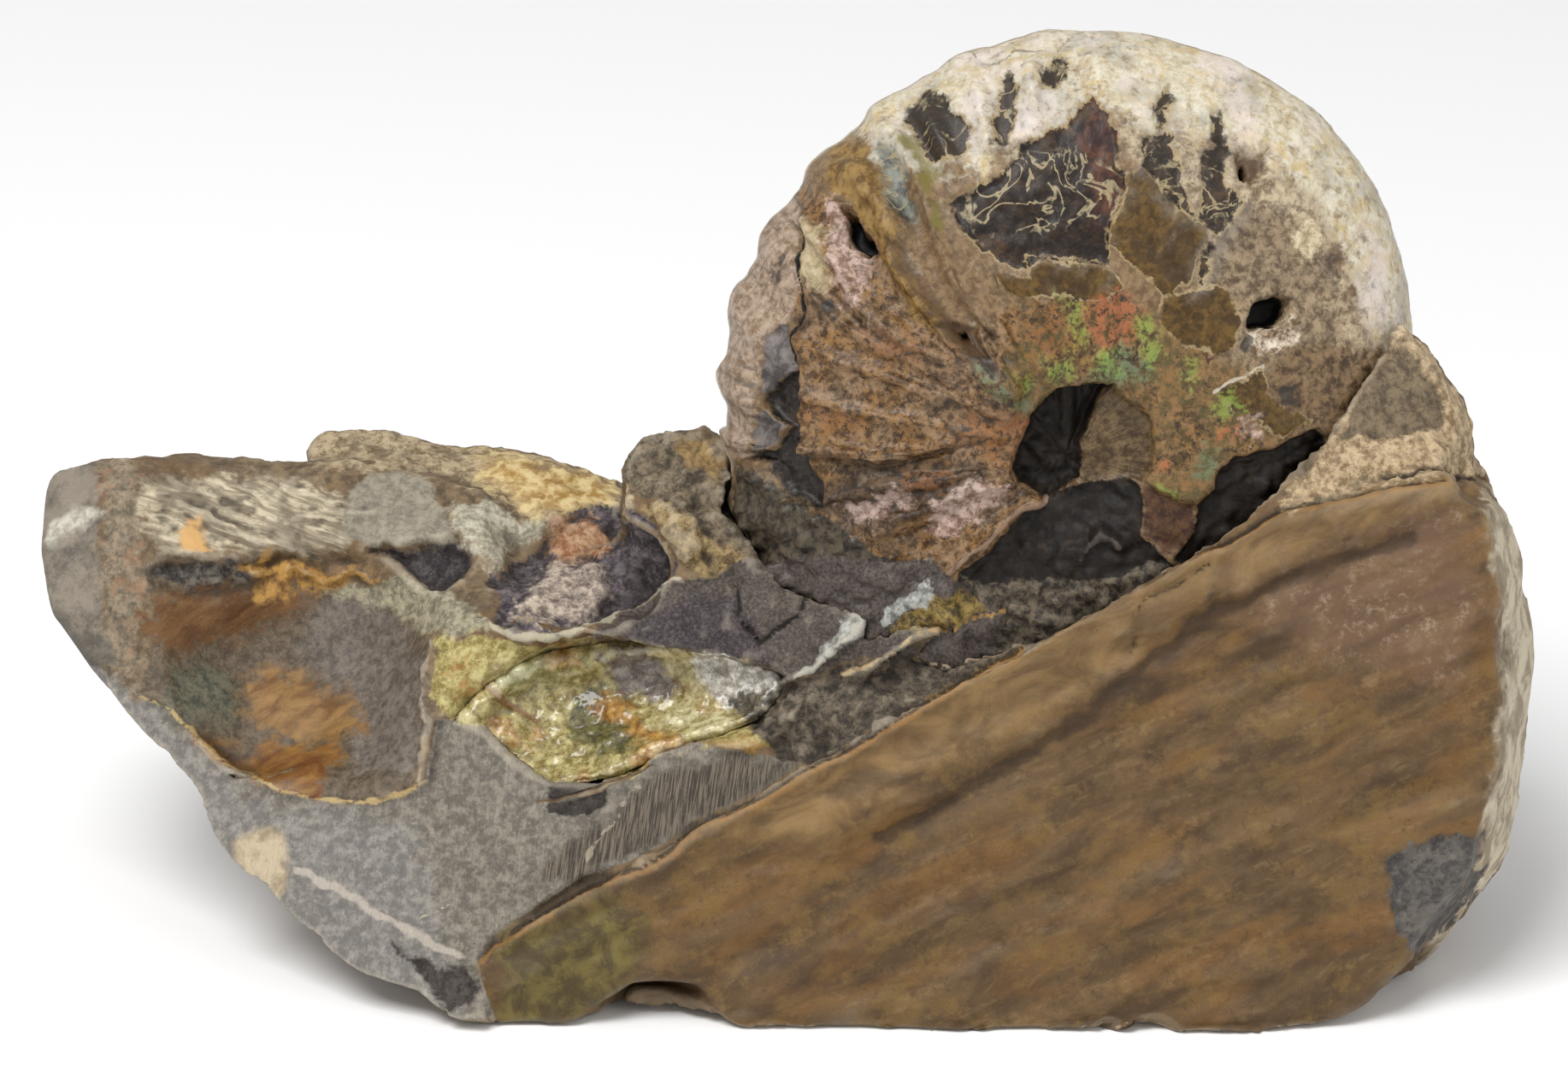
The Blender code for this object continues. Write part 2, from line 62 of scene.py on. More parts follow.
# The photograph's camera
PHOTO_WIDTH = 1834
PHOTO_HEIGHT = 1254
PIXEL = 0.0638
CAMERA_ELEVATION = math.radians(22.0)
CAMERA_DISTANCE = 420.0
CAMERA_TARGET = np.array((-0.1, -3.1, 32.0))
SENSOR_WIDTH = 36.0

# The coiled shell's driving dimensions
COIL_CENTRE = Vector((19.3, -0.1, 39.4))
COIL_LEAN = math.radians(12.0)
COIL_RADIUS_AT = (
    (-180, 23.7), (-150, 24.0), (-120, 24.6), (-90, 25.4), (-60, 26.0), (-30, 26.6), (0, 27.4),
    (18, 28.4), (24, 29.2), (31, 30.0), (41, 30.8), (53, 31.1), (62, 30.8), (73, 30.4), (85, 30.0),
    (95, 29.4), (106, 28.2), (120, 27.0), (133, 26.0), (148, 25.3), (163, 25.0), (171, 24.2), (180, 23.7),
)
COIL_HALF_WIDTH = 11.5
HUB_OFFSET = (1.2, -0.6)
UMBILICUS_RADIUS = 4.5
UMBILICUS_DEPTH = 3.6
RIB_SPACING = 13.5
RIB_FIRST = 130.5
RIB_SWEEP = 15.0
RIB_HEIGHT = 0.8
RIB_STRENGTH_AT = (
    (-180, 0.8), (-150, 0.8), (-120, 0.4), (-90, 0.25), (0, 0.06), (40, 0.12), (80, 0.25), (105, 0.5),
    (125, 0.85), (180, 0.8),
)
KNOB_HEIGHT = 0.05
RIB_OUTLINE = 0.5
# The share of the ribs' height that the flank in the photograph keeps under the crests below
FLANK_RIBS = 0.12
# How far noise moves the outlines and lines, in pixels
SHELL_WARP = 5.0
# The photograph shows nothing of the shell behind this
SHELL_SEEN_BEFORE = COIL_CENTRE.y + 9.0

# Crests on the shell's flank: height and half width in millimetres, then the photograph's pixels
SHELL_CRESTS = (
    (1.09, 0.7, [
        (930, 236), (946, 262), (968, 285), (990, 330), (1020, 372), (1060, 400), (1120, 428),
        (1185, 462),
    ]),
    (1.45, 0.97, [
        (962, 185), (1005, 205), (1036, 245), (1050, 300), (1080, 352), (1115, 392), (1180, 440),
    ]),
    (0.87, 0.62, [
        (1012, 130), (1050, 160), (1078, 215), (1090, 270), (1125, 340), (1165, 385), (1205, 430),
    ]),
    (0.58, 0.53, [(935, 300), (950, 345), (985, 380), (1040, 410), (1110, 445), (1180, 475)]),
    (0.51, 0.53, [(930, 400), (980, 420), (1060, 450), (1180, 490)]),
    (0.43, 0.44, [(930, 460), (1000, 480), (1090, 500), (1180, 510)]),
    (0.87, 0.4, [(936, 526), (974, 522), (1020, 537), (1053, 531), (1080, 523), (1110, 514)]),
    (0.58, 0.53, [(965, 585), (1020, 572), (1100, 560), (1180, 548)]),
    (0.94, 0.53, [(1026, 622), (1048, 607), (1108, 584), (1176, 566)]),
    (1.16, 0.44, [(1111, 662), (1149, 629), (1190, 594), (1220, 584)]),
    (0.72, 0.7, [(1075, 105), (1095, 150), (1112, 195)]),
    (0.72, 0.7, [(1130, 75), (1145, 120), (1155, 170)]),
    (0.65, 0.7, [(1205, 52), (1205, 90), (1210, 130)]), (0.43, 0.79, [(1275, 45), (1285, 85)]),
    (0.51, 0.53, [(1232, 355), (1238, 400), (1225, 440)]),
    (0.51, 0.44, [(1300, 345), (1300, 400), (1292, 440)]),
)

# Outlines that the shell and the stone share
CHIP = [(1034, 707), (1090, 679), (1092, 697), (1059, 721), (1031, 730)]
YELLOW_PATCH = [(1090, 690), (1138, 700), (1157, 718), (1076, 744), (1038, 730), (1062, 718)]

# Outlines on the shell, in the photograph's pixels. Each name may have several.
SHELL_OUTLINES = {
    "cream": [[
        (985, 150), (1020, 165), (1050, 170), (1075, 185), (1125, 195), (1150, 210), (1180, 190),
        (1225, 155), (1275, 112), (1300, 125), (1317, 142), (1340, 165), (1400, 170), (1450, 190),
        (1500, 225), (1535, 250), (1562, 300), (1580, 350), (1592, 400), (1610, 440), (1720, 440),
        (1720, -20), (950, -20), (950, 150),
    ]],
    "right_mix": [[
        (1310, 150), (1450, 170), (1540, 240), (1600, 380), (1612, 420), (1500, 405), (1430, 330),
        (1400, 260), (1320, 205),
    ]],
    "strip": [[
        (936, 225), (929, 270), (936, 320), (925, 372), (900, 385), (892, 410), (887, 437), (880, 500),
        (872, 534), (780, 560), (780, 200),
    ]],
    "pink_flank": [[
        (936, 225), (1000, 235), (1060, 330), (1120, 400), (1200, 350), (1230, 440), (1190, 520),
        (1220, 590), (1120, 700), (960, 640), (925, 540), (925, 380),
    ]],
    "tan_rib": [[
        (974, 170), (1012, 163), (1023, 190), (1037, 223), (1048, 261), (1056, 306), (1083, 350),
        (1120, 392), (1100, 392), (1060, 365), (1036, 310), (1012, 261), (990, 234), (968, 217),
    ]],
    "olive": [[
        (1045, 163), (1083, 163), (1094, 195), (1092, 234), (1105, 262), (1095, 275), (1083, 223),
        (1075, 190), (1056, 179),
    ]],
    "blue_cells": [[
        (1024, 168), (1048, 168), (1056, 195), (1067, 228), (1072, 250), (1059, 264), (1045, 248),
        (1039, 223), (1026, 195),
    ]],
    "windows": [
        [
            (1097, 112), (1119, 130), (1137, 152), (1135, 174), (1111, 187), (1089, 190), (1080, 174),
            (1067, 150), (1055, 135), (1075, 112),
        ],
        [(1178, 80), (1187, 100), (1186, 146), (1176, 168), (1157, 171), (1160, 148), (1166, 110)],
        [(1215, 89), (1240, 64), (1247, 80), (1237, 105), (1218, 104)],
        [
            (1339, 161), (1365, 153), (1376, 175), (1380, 220), (1398, 235), (1402, 257), (1365, 238),
            (1352, 212), (1337, 194),
        ],
        [
            (1409, 175), (1435, 175), (1433, 205), (1452, 235), (1448, 257), (1424, 277), (1407, 257),
            (1407, 227), (1403, 198),
        ],
        [(1350, 109), (1369, 98), (1366, 146), (1352, 150)],
        [(1417, 135), (1436, 127), (1431, 168), (1417, 168)],
        [(1402, 301), (1420, 283), (1417, 316), (1398, 338)],
    ],
    "phragmocone": [[
        (1280, 113), (1295, 129), (1305, 167), (1314, 205), (1303, 256), (1295, 289), (1297, 312),
        (1257, 308), (1227, 302), (1202, 318), (1168, 308), (1147, 289), (1118, 258), (1105, 235),
        (1139, 218), (1173, 201), (1185, 180), (1219, 155), (1248, 138), (1269, 121),
    ]],
    "red_brown": [[
        (1280, 115), (1299, 138), (1307, 180), (1310, 222), (1297, 272), (1282, 262), (1276, 209),
        (1262, 159),
    ]],
    "grey_patch": [[
        (1424, 279), (1472, 242), (1502, 257), (1524, 312), (1561, 290), (1572, 316), (1561, 342),
        (1517, 346), (1450, 346), (1413, 334),
    ]],
    "brown_haze": [[
        (1430, 300), (1470, 250), (1520, 262), (1556, 330), (1572, 400), (1612, 415), (1600, 440),
        (1540, 440), (1440, 430), (1410, 380),
    ]],
    "plates": [
        [
            (1311, 205), (1339, 198), (1369, 220), (1394, 257), (1409, 260), (1413, 279), (1398, 305),
            (1391, 331), (1361, 346), (1346, 327), (1317, 301), (1295, 286), (1293, 272), (1309, 249),
        ],
        [
            (1394, 338), (1424, 334), (1443, 349), (1450, 375), (1446, 405), (1420, 416), (1376, 394),
            (1354, 375), (1361, 353),
        ],
        [
            (1167, 321), (1202, 325), (1202, 301), (1258, 305), (1291, 316), (1317, 338), (1298, 350),
            (1246, 348), (1191, 344), (1172, 340),
        ],
        [
            (1423, 457), (1480, 430), (1484, 460), (1502, 478), (1532, 497), (1502, 507), (1478, 504),
            (1451, 482),
        ],
    ],
    "flake": [[(1511, 272), (1531, 257), (1554, 279), (1531, 305), (1518, 305), (1512, 286)]],
    "glossy": [[
        (1482, 433), (1499, 409), (1550, 402), (1602, 419), (1614, 440), (1592, 478), (1544, 505),
        (1526, 500), (1502, 476), (1484, 456),
    ]],
    "shoulder": [[
        (1200, 350), (1300, 335), (1370, 385), (1400, 410), (1450, 420), (1480, 430), (1470, 470),
        (1530, 500),
        (1440, 545), (1400, 600), (1350, 590), (1340, 540), (1320, 470), (1260, 450), (1195, 500),
        (1170, 440),
    ]],
    "orange": [
        [(1203, 374), (1237, 358), (1265, 398), (1240, 415), (1210, 420)],
        [(1161, 480), (1203, 478), (1196, 502), (1184, 530), (1172, 505)],
        [(941, 472), (1006, 492), (1001, 507), (941, 487)],
        [(1053, 557), (1116, 552), (1111, 570), (1061, 575)],
        [(1006, 385), (1080, 404), (1078, 422), (1039, 420)],
        [(1108, 508), (1144, 485), (1187, 500), (1186, 532), (1174, 546), (1149, 526)],
    ],
    "red_sheen": [
        [(1268, 361), (1290, 348), (1313, 342), (1333, 367), (1323, 405), (1300, 412), (1285, 409)],
        [(1416, 502), (1444, 485), (1447, 505), (1423, 514)], [(1358, 532), (1373, 547), (1362, 552)],
        [(1185, 500), (1206, 485), (1200, 510)],
    ],
    "green_sheen": [
        [(1240, 345), (1265, 357), (1270, 398), (1262, 404), (1252, 380)],
        [(1213, 419), (1240, 425), (1248, 405), (1256, 412), (1254, 440), (1237, 449)],
        [(1327, 371), (1344, 378), (1361, 409), (1347, 432), (1333, 392)],
        [(1285, 409), (1306, 405), (1306, 438), (1280, 442)],
        [(1189, 436), (1209, 447), (1206, 462), (1194, 455)],
        [(1420, 480), (1430, 457), (1446, 460), (1457, 478), (1438, 482), (1424, 498)],
        [(1389, 423), (1399, 426), (1394, 460), (1387, 443)], [(1356, 569), (1380, 579), (1374, 588)],
    ],
    "teal": [
        [(1145, 422), (1192, 466), (1209, 478), (1200, 486), (1170, 466), (1143, 438)],
        [(1310, 400), (1345, 420), (1350, 445), (1300, 450), (1270, 446)],
        [(1410, 520), (1425, 530), (1415, 560), (1400, 555)],
    ],
    "pink_sheen": [
        [
            (968, 234), (990, 248), (995, 283), (1012, 297), (1028, 311), (1017, 335), (1008, 360),
            (985, 358), (974, 316),
        ],
        [(1451, 491), (1475, 491), (1471, 512), (1450, 508)],
        [(1090, 590), (1145, 562), (1178, 566), (1165, 590), (1110, 628), (1085, 622)],
        [(985, 600), (1040, 575), (1075, 580), (1020, 610)],
    ],
    "cream_spot": [[(935, 283), (946, 261), (968, 267), (974, 294), (971, 330), (957, 339), (938, 324)]],
    "dark_spots": [
        [(961, 349), (971, 349), (978, 365), (970, 374), (961, 363)],
        [(1143, 414), (1160, 418), (1172, 436), (1160, 440), (1146, 428)],
        [(905, 300), (915, 300), (913, 330), (903, 335)],
        [(1458, 392), (1470, 396), (1462, 412), (1450, 408)],
        [(1500, 455), (1522, 448), (1518, 470), (1500, 474)],
    ],
    "furrow": [[(1094, 381), (1122, 376), (1141, 385), (1149, 403), (1157, 420), (1138, 417), (1116, 400)]],
    "crystals": [[(1457, 382), (1490, 392), (1513, 366), (1523, 379), (1509, 407), (1480, 414),
        (1461, 407)]],
    "brown_pit": [[(1446, 178), (1476, 177), (1481, 201), (1465, 213), (1450, 206)]],
    "holes": [
        [(1463, 375), (1472, 355), (1491, 346), (1508, 353), (1508, 371), (1487, 387), (1461, 386)],
        [(1451, 206), (1456, 190), (1462, 199), (1456, 211)],
        [(989, 248), (1001, 253), (1021, 294), (1012, 299), (1000, 289), (994, 272)],
        [(1124, 391), (1131, 389), (1134, 396), (1127, 399)],
    ],
    "lens": [[
        (1302, 454), (1265, 454), (1230, 467), (1206, 491), (1192, 526), (1182, 550), (1189, 565),
        (1223, 587), (1247, 576), (1261, 562), (1268, 540), (1265, 519), (1272, 491), (1285, 467),
    ]],
    "inner_whorl": [[
        (1302, 455), (1323, 471), (1347, 502), (1349, 547), (1333, 566), (1302, 562), (1262, 568),
        (1268, 540), (1265, 519), (1272, 491), (1285, 467),
    ]],
    "red_wall": [[
        (1333, 564), (1358, 581), (1395, 591), (1401, 622), (1377, 655), (1361, 650), (1340, 629),
    ]],
    "mould": [
        [
            (1196, 602), (1223, 585), (1275, 565), (1313, 560), (1331, 568), (1337, 595), (1338, 630),
            (1361, 651), (1378, 664), (1400, 690), (1330, 760), (1140, 790), (1118, 700), (1123, 672),
            (1151, 650),
        ],
        [
            (1543, 502), (1499, 520), (1451, 536), (1426, 553), (1421, 578), (1399, 591), (1401, 622),
            (1377, 655), (1430, 700), (1500, 640), (1560, 580), (1570, 540), (1556, 520),
        ],
    ],
    "left_gap": [[
        (891, 461), (927, 433), (931, 458), (930, 493), (937, 532), (958, 570), (962, 600), (938, 592),
        (916, 580), (900, 556), (868, 540), (870, 530), (897, 528), (917, 504), (905, 488), (894, 474),
    ]],
    "grey_lumps": [
        [(894, 389), (921, 376), (927, 433), (891, 461), (886, 439), (893, 411)],
        [(889, 477), (914, 499), (902, 521), (874, 532), (882, 504), (884, 477)],
    ],
    "stone_cover": [[
        (860, 540), (900, 560), (916, 582), (962, 602), (1000, 620), (1028, 650), (1060, 655), (1111, 668),
        (1122, 700), (1130, 780), (960, 780), (850, 680),
    ]],
    "flank_dark": [[
        (960, 560), (1010, 540), (1100, 535), (1160, 545), (1140, 590), (1060, 612), (1000, 628),
        (950, 600),
    ]],
    "suture_band": [[
        (1120, 240), (1150, 205), (1190, 182), (1245, 172), (1305, 195), (1306, 238), (1270, 262),
        (1200, 268), (1150, 275),
    ]],
    "cover_middle": [[
        (870, 668), (935, 649), (973, 649), (1028, 656), (1093, 652), (1110, 673), (1145, 704),
        (1172, 721), (1150, 790), (960, 800),
    ]],
    "cover_chip": [CHIP],
    "cover_yellow": [YELLOW_PATCH],
    "cover_rubble": [[
        (1123, 676), (1150, 690), (1179, 684), (1236, 680), (1272, 684), (1312, 677), (1345, 665),
        (1372, 660), (1400, 690), (1226, 790), (1130, 800), (1060, 760), (1150, 726),
    ]],
    "shadow": [[(1028, 632), (1070, 620), (1095, 612), (1075, 655), (1037, 655)]],
}
SHELL_LINES = {
    "crack": [(933, 262), (937, 292), (934, 320), (937, 362), (925, 399), (922, 418), (928, 433)],
    "torn_edge": [(938, 535), (974, 532), (1020, 546), (1053, 540), (1080, 532), (1105, 524), (1145, 521)],
    "shell_edge": [(1111, 668), (1149, 635), (1190, 599), (1223, 587)],
    "rib_shadow": [(1050, 290), (1075, 335), (1110, 378), (1150, 415)],
    "cover_plate": [(1060, 752), (1128, 729), (1174, 718)],
    "mould_ridge": [(1266, 655), (1272, 639), (1287, 628), (1302, 632), (1312, 642)],
    "whorl_step": [(1420, 458), (1450, 441), (1480, 428)],
    "venter_scallops": [(1139, 60), (1150, 74), (1170, 76), (1186, 56), (1205, 62), (1235, 56), (1256, 40)],
    "venter_edge": [(1000, 150), (1018, 120), (1060, 95), (1066, 88)],
}
# How far each region stands out from the shell, and how soft its edge is, in millimetres
SHELL_LIFTS = {
    "windows": (-0.22, 0.15), "phragmocone": (-0.3, 0.15), "plates": (0.16, 0.1), "flake": (0.3, 0.12),
    "grey_patch": (-0.12, 0.4), "brown_pit": (-0.7, 0.4), "holes": (-2.6, 0.25), "lens": (-2.6, 0.35),
    "inner_whorl": (-1.1, 0.4), "red_wall": (-0.7, 0.4), "mould": (-0.75, 0.2), "left_gap": (-1.5, 0.3),
    "grey_lumps": (-0.6, 0.3), "blue_cells": (-0.35, 0.3), "furrow": (-0.7, 0.3), "glossy": (-0.1, 0.3),
    "dark_spots": (-0.2, 0.15), "stone_cover": (0.25, 0.2), "cover_middle": (0.2, 0.2),
    "cover_rubble": (0.3, 0.25),
    "cover_chip": (0.25, 0.15), "shadow": (-0.6, 0.5), "cream_spot": (0.15, 0.3), "crystals": (-0.25, 0.3),
}
ROCKY_ON_SHELL = ("stone_cover", "cover_middle", "cover_rubble", "mould", "lens")
# How deep each groove is, and half its width, in millimetres
SHELL_GROOVES = {
    "rib_shadow": (0.45, 0.5), "crack": (0.55, 0.3), "torn_edge": (0.3, 0.3),
    "venter_scallops": (0.18, 0.25),
    "venter_edge": (0.15, 0.25),
}

# Faces of the stone: a point of each, and its outward normal
SAWN_POINT = np.array((-21.3, -19.7, 6.6))
SAWN_NORMAL = np.array((-0.177, -0.8, 0.573)) / np.linalg.norm((-0.177, -0.8, 0.573))
SAWN_SET_BACK = 1.0
SAWN_FLATNESS = 0.92
BROWN_POINT = np.array((0.0, -20.87, 0.0))
BROWN_NORMAL = np.array((0.0, -1.0, 0.18)) / np.linalg.norm((0.0, -1.0, 0.18))
BROWN_FLATNESS = 0.6
# Near its right end and its foot the brown face is flattened only where it faces forwards
BROWN_END_X = (34.0, 42.0)
BROWN_FOOT_Z = (9.0, 4.0)
FACES_BEFORE_Y = -2.0
LIP_SLOPE = math.radians(26.0)
# The left end is drawn out, and the ground flank on that side is smoother
LEFT_END_X = (-46.0, -54.0)
LEFT_REACH = 0.9
LEFT_GROUND_BEFORE_X = -15.0
LEFT_ROUGHNESS = 0.25

# Outlines on the stone, in the photograph's pixels
LIP = [
    (560, 1120), (575, 1100), (593, 1095), (643, 1065), (687, 1035), (752, 1016), (780, 999), (813, 969),
    (890, 934), (944, 901), (1020, 862), (1093, 814), (1162, 773), (1220, 735), (1287, 683), (1339, 669),
    (1413, 639), (1461, 617), (1494, 598), (1560, 584), (1640, 570), (1690, 562),
]
STONE_OUTLINES = {
    "brown": LIP + [
        (1738, 572), (1762, 760), (1752, 900), (1735, 1000), (1650, 1130), (1590, 1185), (1460, 1260),
        (1180, 1240), (870, 1240), (750, 1200), (620, 1250), (585, 1240), (566, 1170),
    ],
    "sawn": [
        (90, 740), (147, 801), (199, 829), (232, 862), (275, 900), (322, 924), (388, 938), (426, 942),
        (482, 925), (497, 914), (511, 839), (571, 851), (610, 890), (643, 914), (709, 914), (741, 906),
        (769, 884), (818, 870), (901, 884), (939, 893), (890, 926), (813, 960), (776, 990), (748, 1008),
        (683, 1026), (640, 1056), (590, 1086), (566, 1105), (556, 1131), (600, 1240), (300, 1240),
        (60, 900),
    ],
    "scoop": [
        (180, 672), (232, 688), (303, 680), (374, 682), (445, 686), (497, 740), (501, 749), (492, 857),
        (482, 919), (426, 942), (388, 938), (322, 924), (275, 900), (232, 862), (199, 829), (162, 810),
        (176, 763), (178, 707),
    ],
    "trough": [
        (506, 740), (567, 744), (610, 754), (680, 752), (756, 755), (828, 776), (873, 770), (873, 811),
        (838, 835), (873, 846), (906, 868), (901, 884), (873, 881), (818, 868), (769, 886), (741, 906),
        (709, 914), (643, 914), (610, 890), (571, 851), (508, 835),
    ],
    "left_face": [
        (0, 520), (129, 520), (121, 589), (131, 716), (147, 773), (120, 780), (0, 700),
    ],
    "left_ridge": [
        (129, 530), (165, 540), (171, 593), (178, 707), (164, 763), (162, 815), (147, 790), (131, 716),
        (121, 589),
    ],
    "laminated": [
        (176, 560), (350, 560), (435, 600), (398, 636), (350, 650), (303, 645), (247, 650), (190, 650),
        (171, 598),
    ],
    "flat_face": [
        (435, 552), (501, 548), (511, 584), (539, 626), (435, 640), (398, 617), (407, 574),
    ],
    "dark_band": [
        (180, 660), (284, 652), (341, 656), (330, 672), (303, 697), (232, 700), (185, 690),
    ],
    "dark_pit": [
        (435, 645), (534, 626), (553, 645), (548, 664), (520, 688), (492, 678), (459, 659),
    ],
    "pale_bevel": [
        (520, 589), (580, 592), (638, 612), (600, 640), (572, 664), (548, 636),
    ],
    "grey_slope": [
        (374, 690), (445, 683), (480, 672), (520, 690), (560, 715), (575, 742), (500, 740), (470, 720),
    ],
    "rim": [
        (355, 490), (539, 500), (725, 535), (735, 600), (690, 590), (640, 610), (580, 580), (500, 548),
        (430, 556), (350, 545),
    ],
    "rim_stain": [
        (563, 528), (605, 535), (718, 560), (718, 600), (640, 606), (600, 575), (560, 560),
    ],
    "purple": [
        (582, 707), (567, 678), (629, 636), (681, 592), (760, 605), (790, 640), (792, 673), (766, 697),
        (721, 721), (680, 738), (605, 744), (577, 730),
    ],
    "purple_orange": [(640, 612), (690, 604), (716, 625), (700, 652), (660, 655), (640, 640)],
    "purple_white": [
        (612, 690), (650, 655), (700, 660), (712, 690), (690, 725), (640, 735), (605, 722),
    ],
    "shard": [
        (721, 563), (732, 518), (756, 500), (780, 510), (814, 505), (835, 525), (852, 549), (873, 594),
        (900, 652), (883, 673), (838, 652), (811, 621), (773, 587), (739, 576),
    ],
    "shard_ochre": [(794, 520), (822, 515), (840, 540), (835, 560), (815, 550), (800, 545)],
    "ochre_band": [
        (770, 590), (828, 632), (884, 664), (876, 692), (818, 676), (783, 634), (740, 600),
    ],
    "slab": [
        (862, 530), (900, 549), (921, 576), (966, 601), (1028, 642), (1035, 656), (990, 654), (942, 640),
        (904, 656), (876, 601),
    ],
    "middle": [
        (873, 664), (935, 649), (973, 649), (1028, 656), (1093, 652), (1110, 673), (1145, 704),
        (1172, 721), (1083, 742), (1030, 765), (960, 785), (900, 800), (840, 790), (811, 776), (725, 748),
        (690, 745), (759, 705), (800, 680), (840, 672),
    ],
    "purple_rock": [
        (725, 745), (759, 716), (818, 694), (863, 700), (893, 749), (900, 783), (873, 778), (811, 773),
    ],
    "blue_chip": [(942, 782), (976, 742), (997, 721), (1026, 705), (1028, 722), (1004, 745), (965, 772)],
    "blue_chip_2": CHIP,
    "yellow_patch": YELLOW_PATCH,
    "cream_slab": [(756, 755), (828, 776), (840, 835), (811, 825), (794, 792)],
    "white_calcite": [(822, 772), (850, 766), (876, 785), (873, 811), (838, 822), (828, 800)],
    "purple_patch": [(711, 773), (756, 757), (794, 796), (770, 824), (721, 800)],
    "rubble": [
        (835, 826), (887, 806), (955, 790), (1007, 776), (1086, 749), (1179, 721), (1225, 690),
        (1260, 690), (1220, 735), (1162, 773), (1093, 814), (1020, 862), (944, 900), (905, 880), (873, 846),
    ],
    "dark_patch": [(654, 908), (709, 912), (705, 935), (676, 956), (637, 945), (645, 925)],
    "fossil_section": [
        (275, 985), (295, 962), (322, 972), (338, 1005), (334, 1040), (315, 1056), (290, 1046), (275, 1015),
    ],
    "dark_chip": [
        (452, 1100), (511, 1128), (545, 1133), (562, 1164), (545, 1186), (520, 1188), (500, 1150),
    ],
    "grey_chip": [
        (1618, 1010), (1650, 990), (1690, 980), (1735, 978), (1728, 1040), (1700, 1085), (1655, 1115),
        (1632, 1080),
    ],
    "band": [
        (1738, 572), (1770, 560), (1830, 700), (1830, 900), (1790, 1040), (1720, 1130), (1660, 1130),
        (1735, 1000), (1752, 900), (1762, 760),
    ],
    "olive_corner": [(585, 1100), (700, 1048), (760, 1080), (745, 1140), (640, 1230), (590, 1230)],
    "ledge": [
        (1640, 370), (1700, 420), (1740, 500), (1740, 553), (1700, 553), (1560, 584), (1494, 598),
        (1540, 530), (1580, 480), (1620, 430),
    ],
    "ledge_front": [(1640, 395), (1662, 420), (1692, 470), (1690, 500), (1560, 522), (1600, 450)],
    "upper_strip": [
        (944, 1000), (983, 963), (1078, 891), (1230, 835), (1325, 771), (1405, 707), (1517, 652),
        (1660, 590), (1738, 572), (1690, 555), (1500, 590), (1400, 640), (1220, 730), (1000, 868),
        (840, 965),
    ],
    "under_ledge": [
        (1230, 842), (1325, 778), (1405, 714), (1517, 660), (1600, 622), (1590, 660), (1480, 700),
        (1420, 760), (1330, 820), (1250, 870),
    ],
    "saw_ridges": [
        (620, 1040), (660, 990), (720, 940), (770, 900), (850, 880), (935, 895), (890, 930), (800, 970),
        (700, 1025),
    ],
    "saw_blue": [(90, 740), (300, 940), (480, 960), (520, 1100), (560, 1240), (200, 1240), (40, 900)],
    "scoop_orange": [(280, 795), (330, 785), (400, 815), (430, 850), (380, 870), (300, 850)],
    "scoop_rust": [(225, 860), (275, 880), (330, 870), (400, 880), (370, 930), (300, 915), (250, 890)],
    "scoop_top": [(178, 700), (240, 690), (340, 690), (370, 700), (290, 740), (200, 765), (176, 740)],
    "scoop_blue": [(200, 785), (250, 770), (280, 800), (270, 850), (215, 850), (195, 815)],
    "scoop_grey": [
        (380, 700), (440, 690), (480, 735), (495, 800), (480, 900), (420, 905), (400, 820), (350, 760),
    ],
    "left_white": [(60, 634), (76, 612), (116, 590), (122, 600), (98, 626), (70, 641)],
    "brown_pale": [
        (1440, 640), (1560, 600), (1700, 590), (1735, 700), (1700, 810), (1560, 770), (1450, 720),
    ],
    "golden_patch": [(290, 655), (330, 650), (380, 665), (440, 676), (400, 690), (350, 690), (300, 700)],
    "orange_spot": [(206, 622), (232, 612), (238, 630), (252, 645), (210, 643)],
}
PURPLE_RIM = [(577, 735), (605, 746), (680, 740), (721, 723), (763, 698), (800, 678)]
# Crests on the stone, as on the shell
STONE_CRESTS = (
    (0.9, 0.7, [(846, 526), (858, 556), (872, 590)]),
    (0.6, 0.35, [(208, 594), (237, 608), (289, 634), (337, 638), (360, 652)]),
    (0.5, 0.3, [(241, 577), (262, 598), (290, 612)]), (0.45, 0.3, [(252, 577), (290, 575), (312, 592)]),
    (0.5, 0.35, [(326, 574), (355, 580), (388, 595)]), (0.5, 0.3, [(338, 614), (381, 602), (437, 600)]),
    (0.4, 0.3, [(180, 610), (200, 640), (230, 650), (280, 655)]),
    (0.45, 1.5, [
        (959, 994), (983, 963), (1078, 891), (1230, 835), (1325, 771), (1405, 707), (1517, 652),
        (1660, 588),
    ]),
    (0.35, 0.8, [(600, 1090), (752, 1010), (890, 930), (1020, 858), (1162, 770), (1287, 682), (1413, 637)]),
    (0.5, 0.4, [(303, 672), (350, 664), (374, 676), (410, 671), (445, 678)]),
    (0.3, 0.3, [(502, 748), (494, 810), (492, 870), (490, 916)]),
    (0.5, 0.35, [(985, 793), (1038, 766), (1084, 745), (1128, 729), (1174, 718)]),
    (0.4, 0.3, [(842, 806), (900, 800), (949, 780), (990, 749)]),
    (0.5, 0.5, PURPLE_RIM),
    (0.4, 0.5, [(770, 590), (800, 625), (850, 655), (884, 668)]),
    (0.35, 0.4, [(720, 600), (760, 650), (800, 680)]), (0.4, 0.4, [(880, 560), (905, 600), (985, 645)]),
)
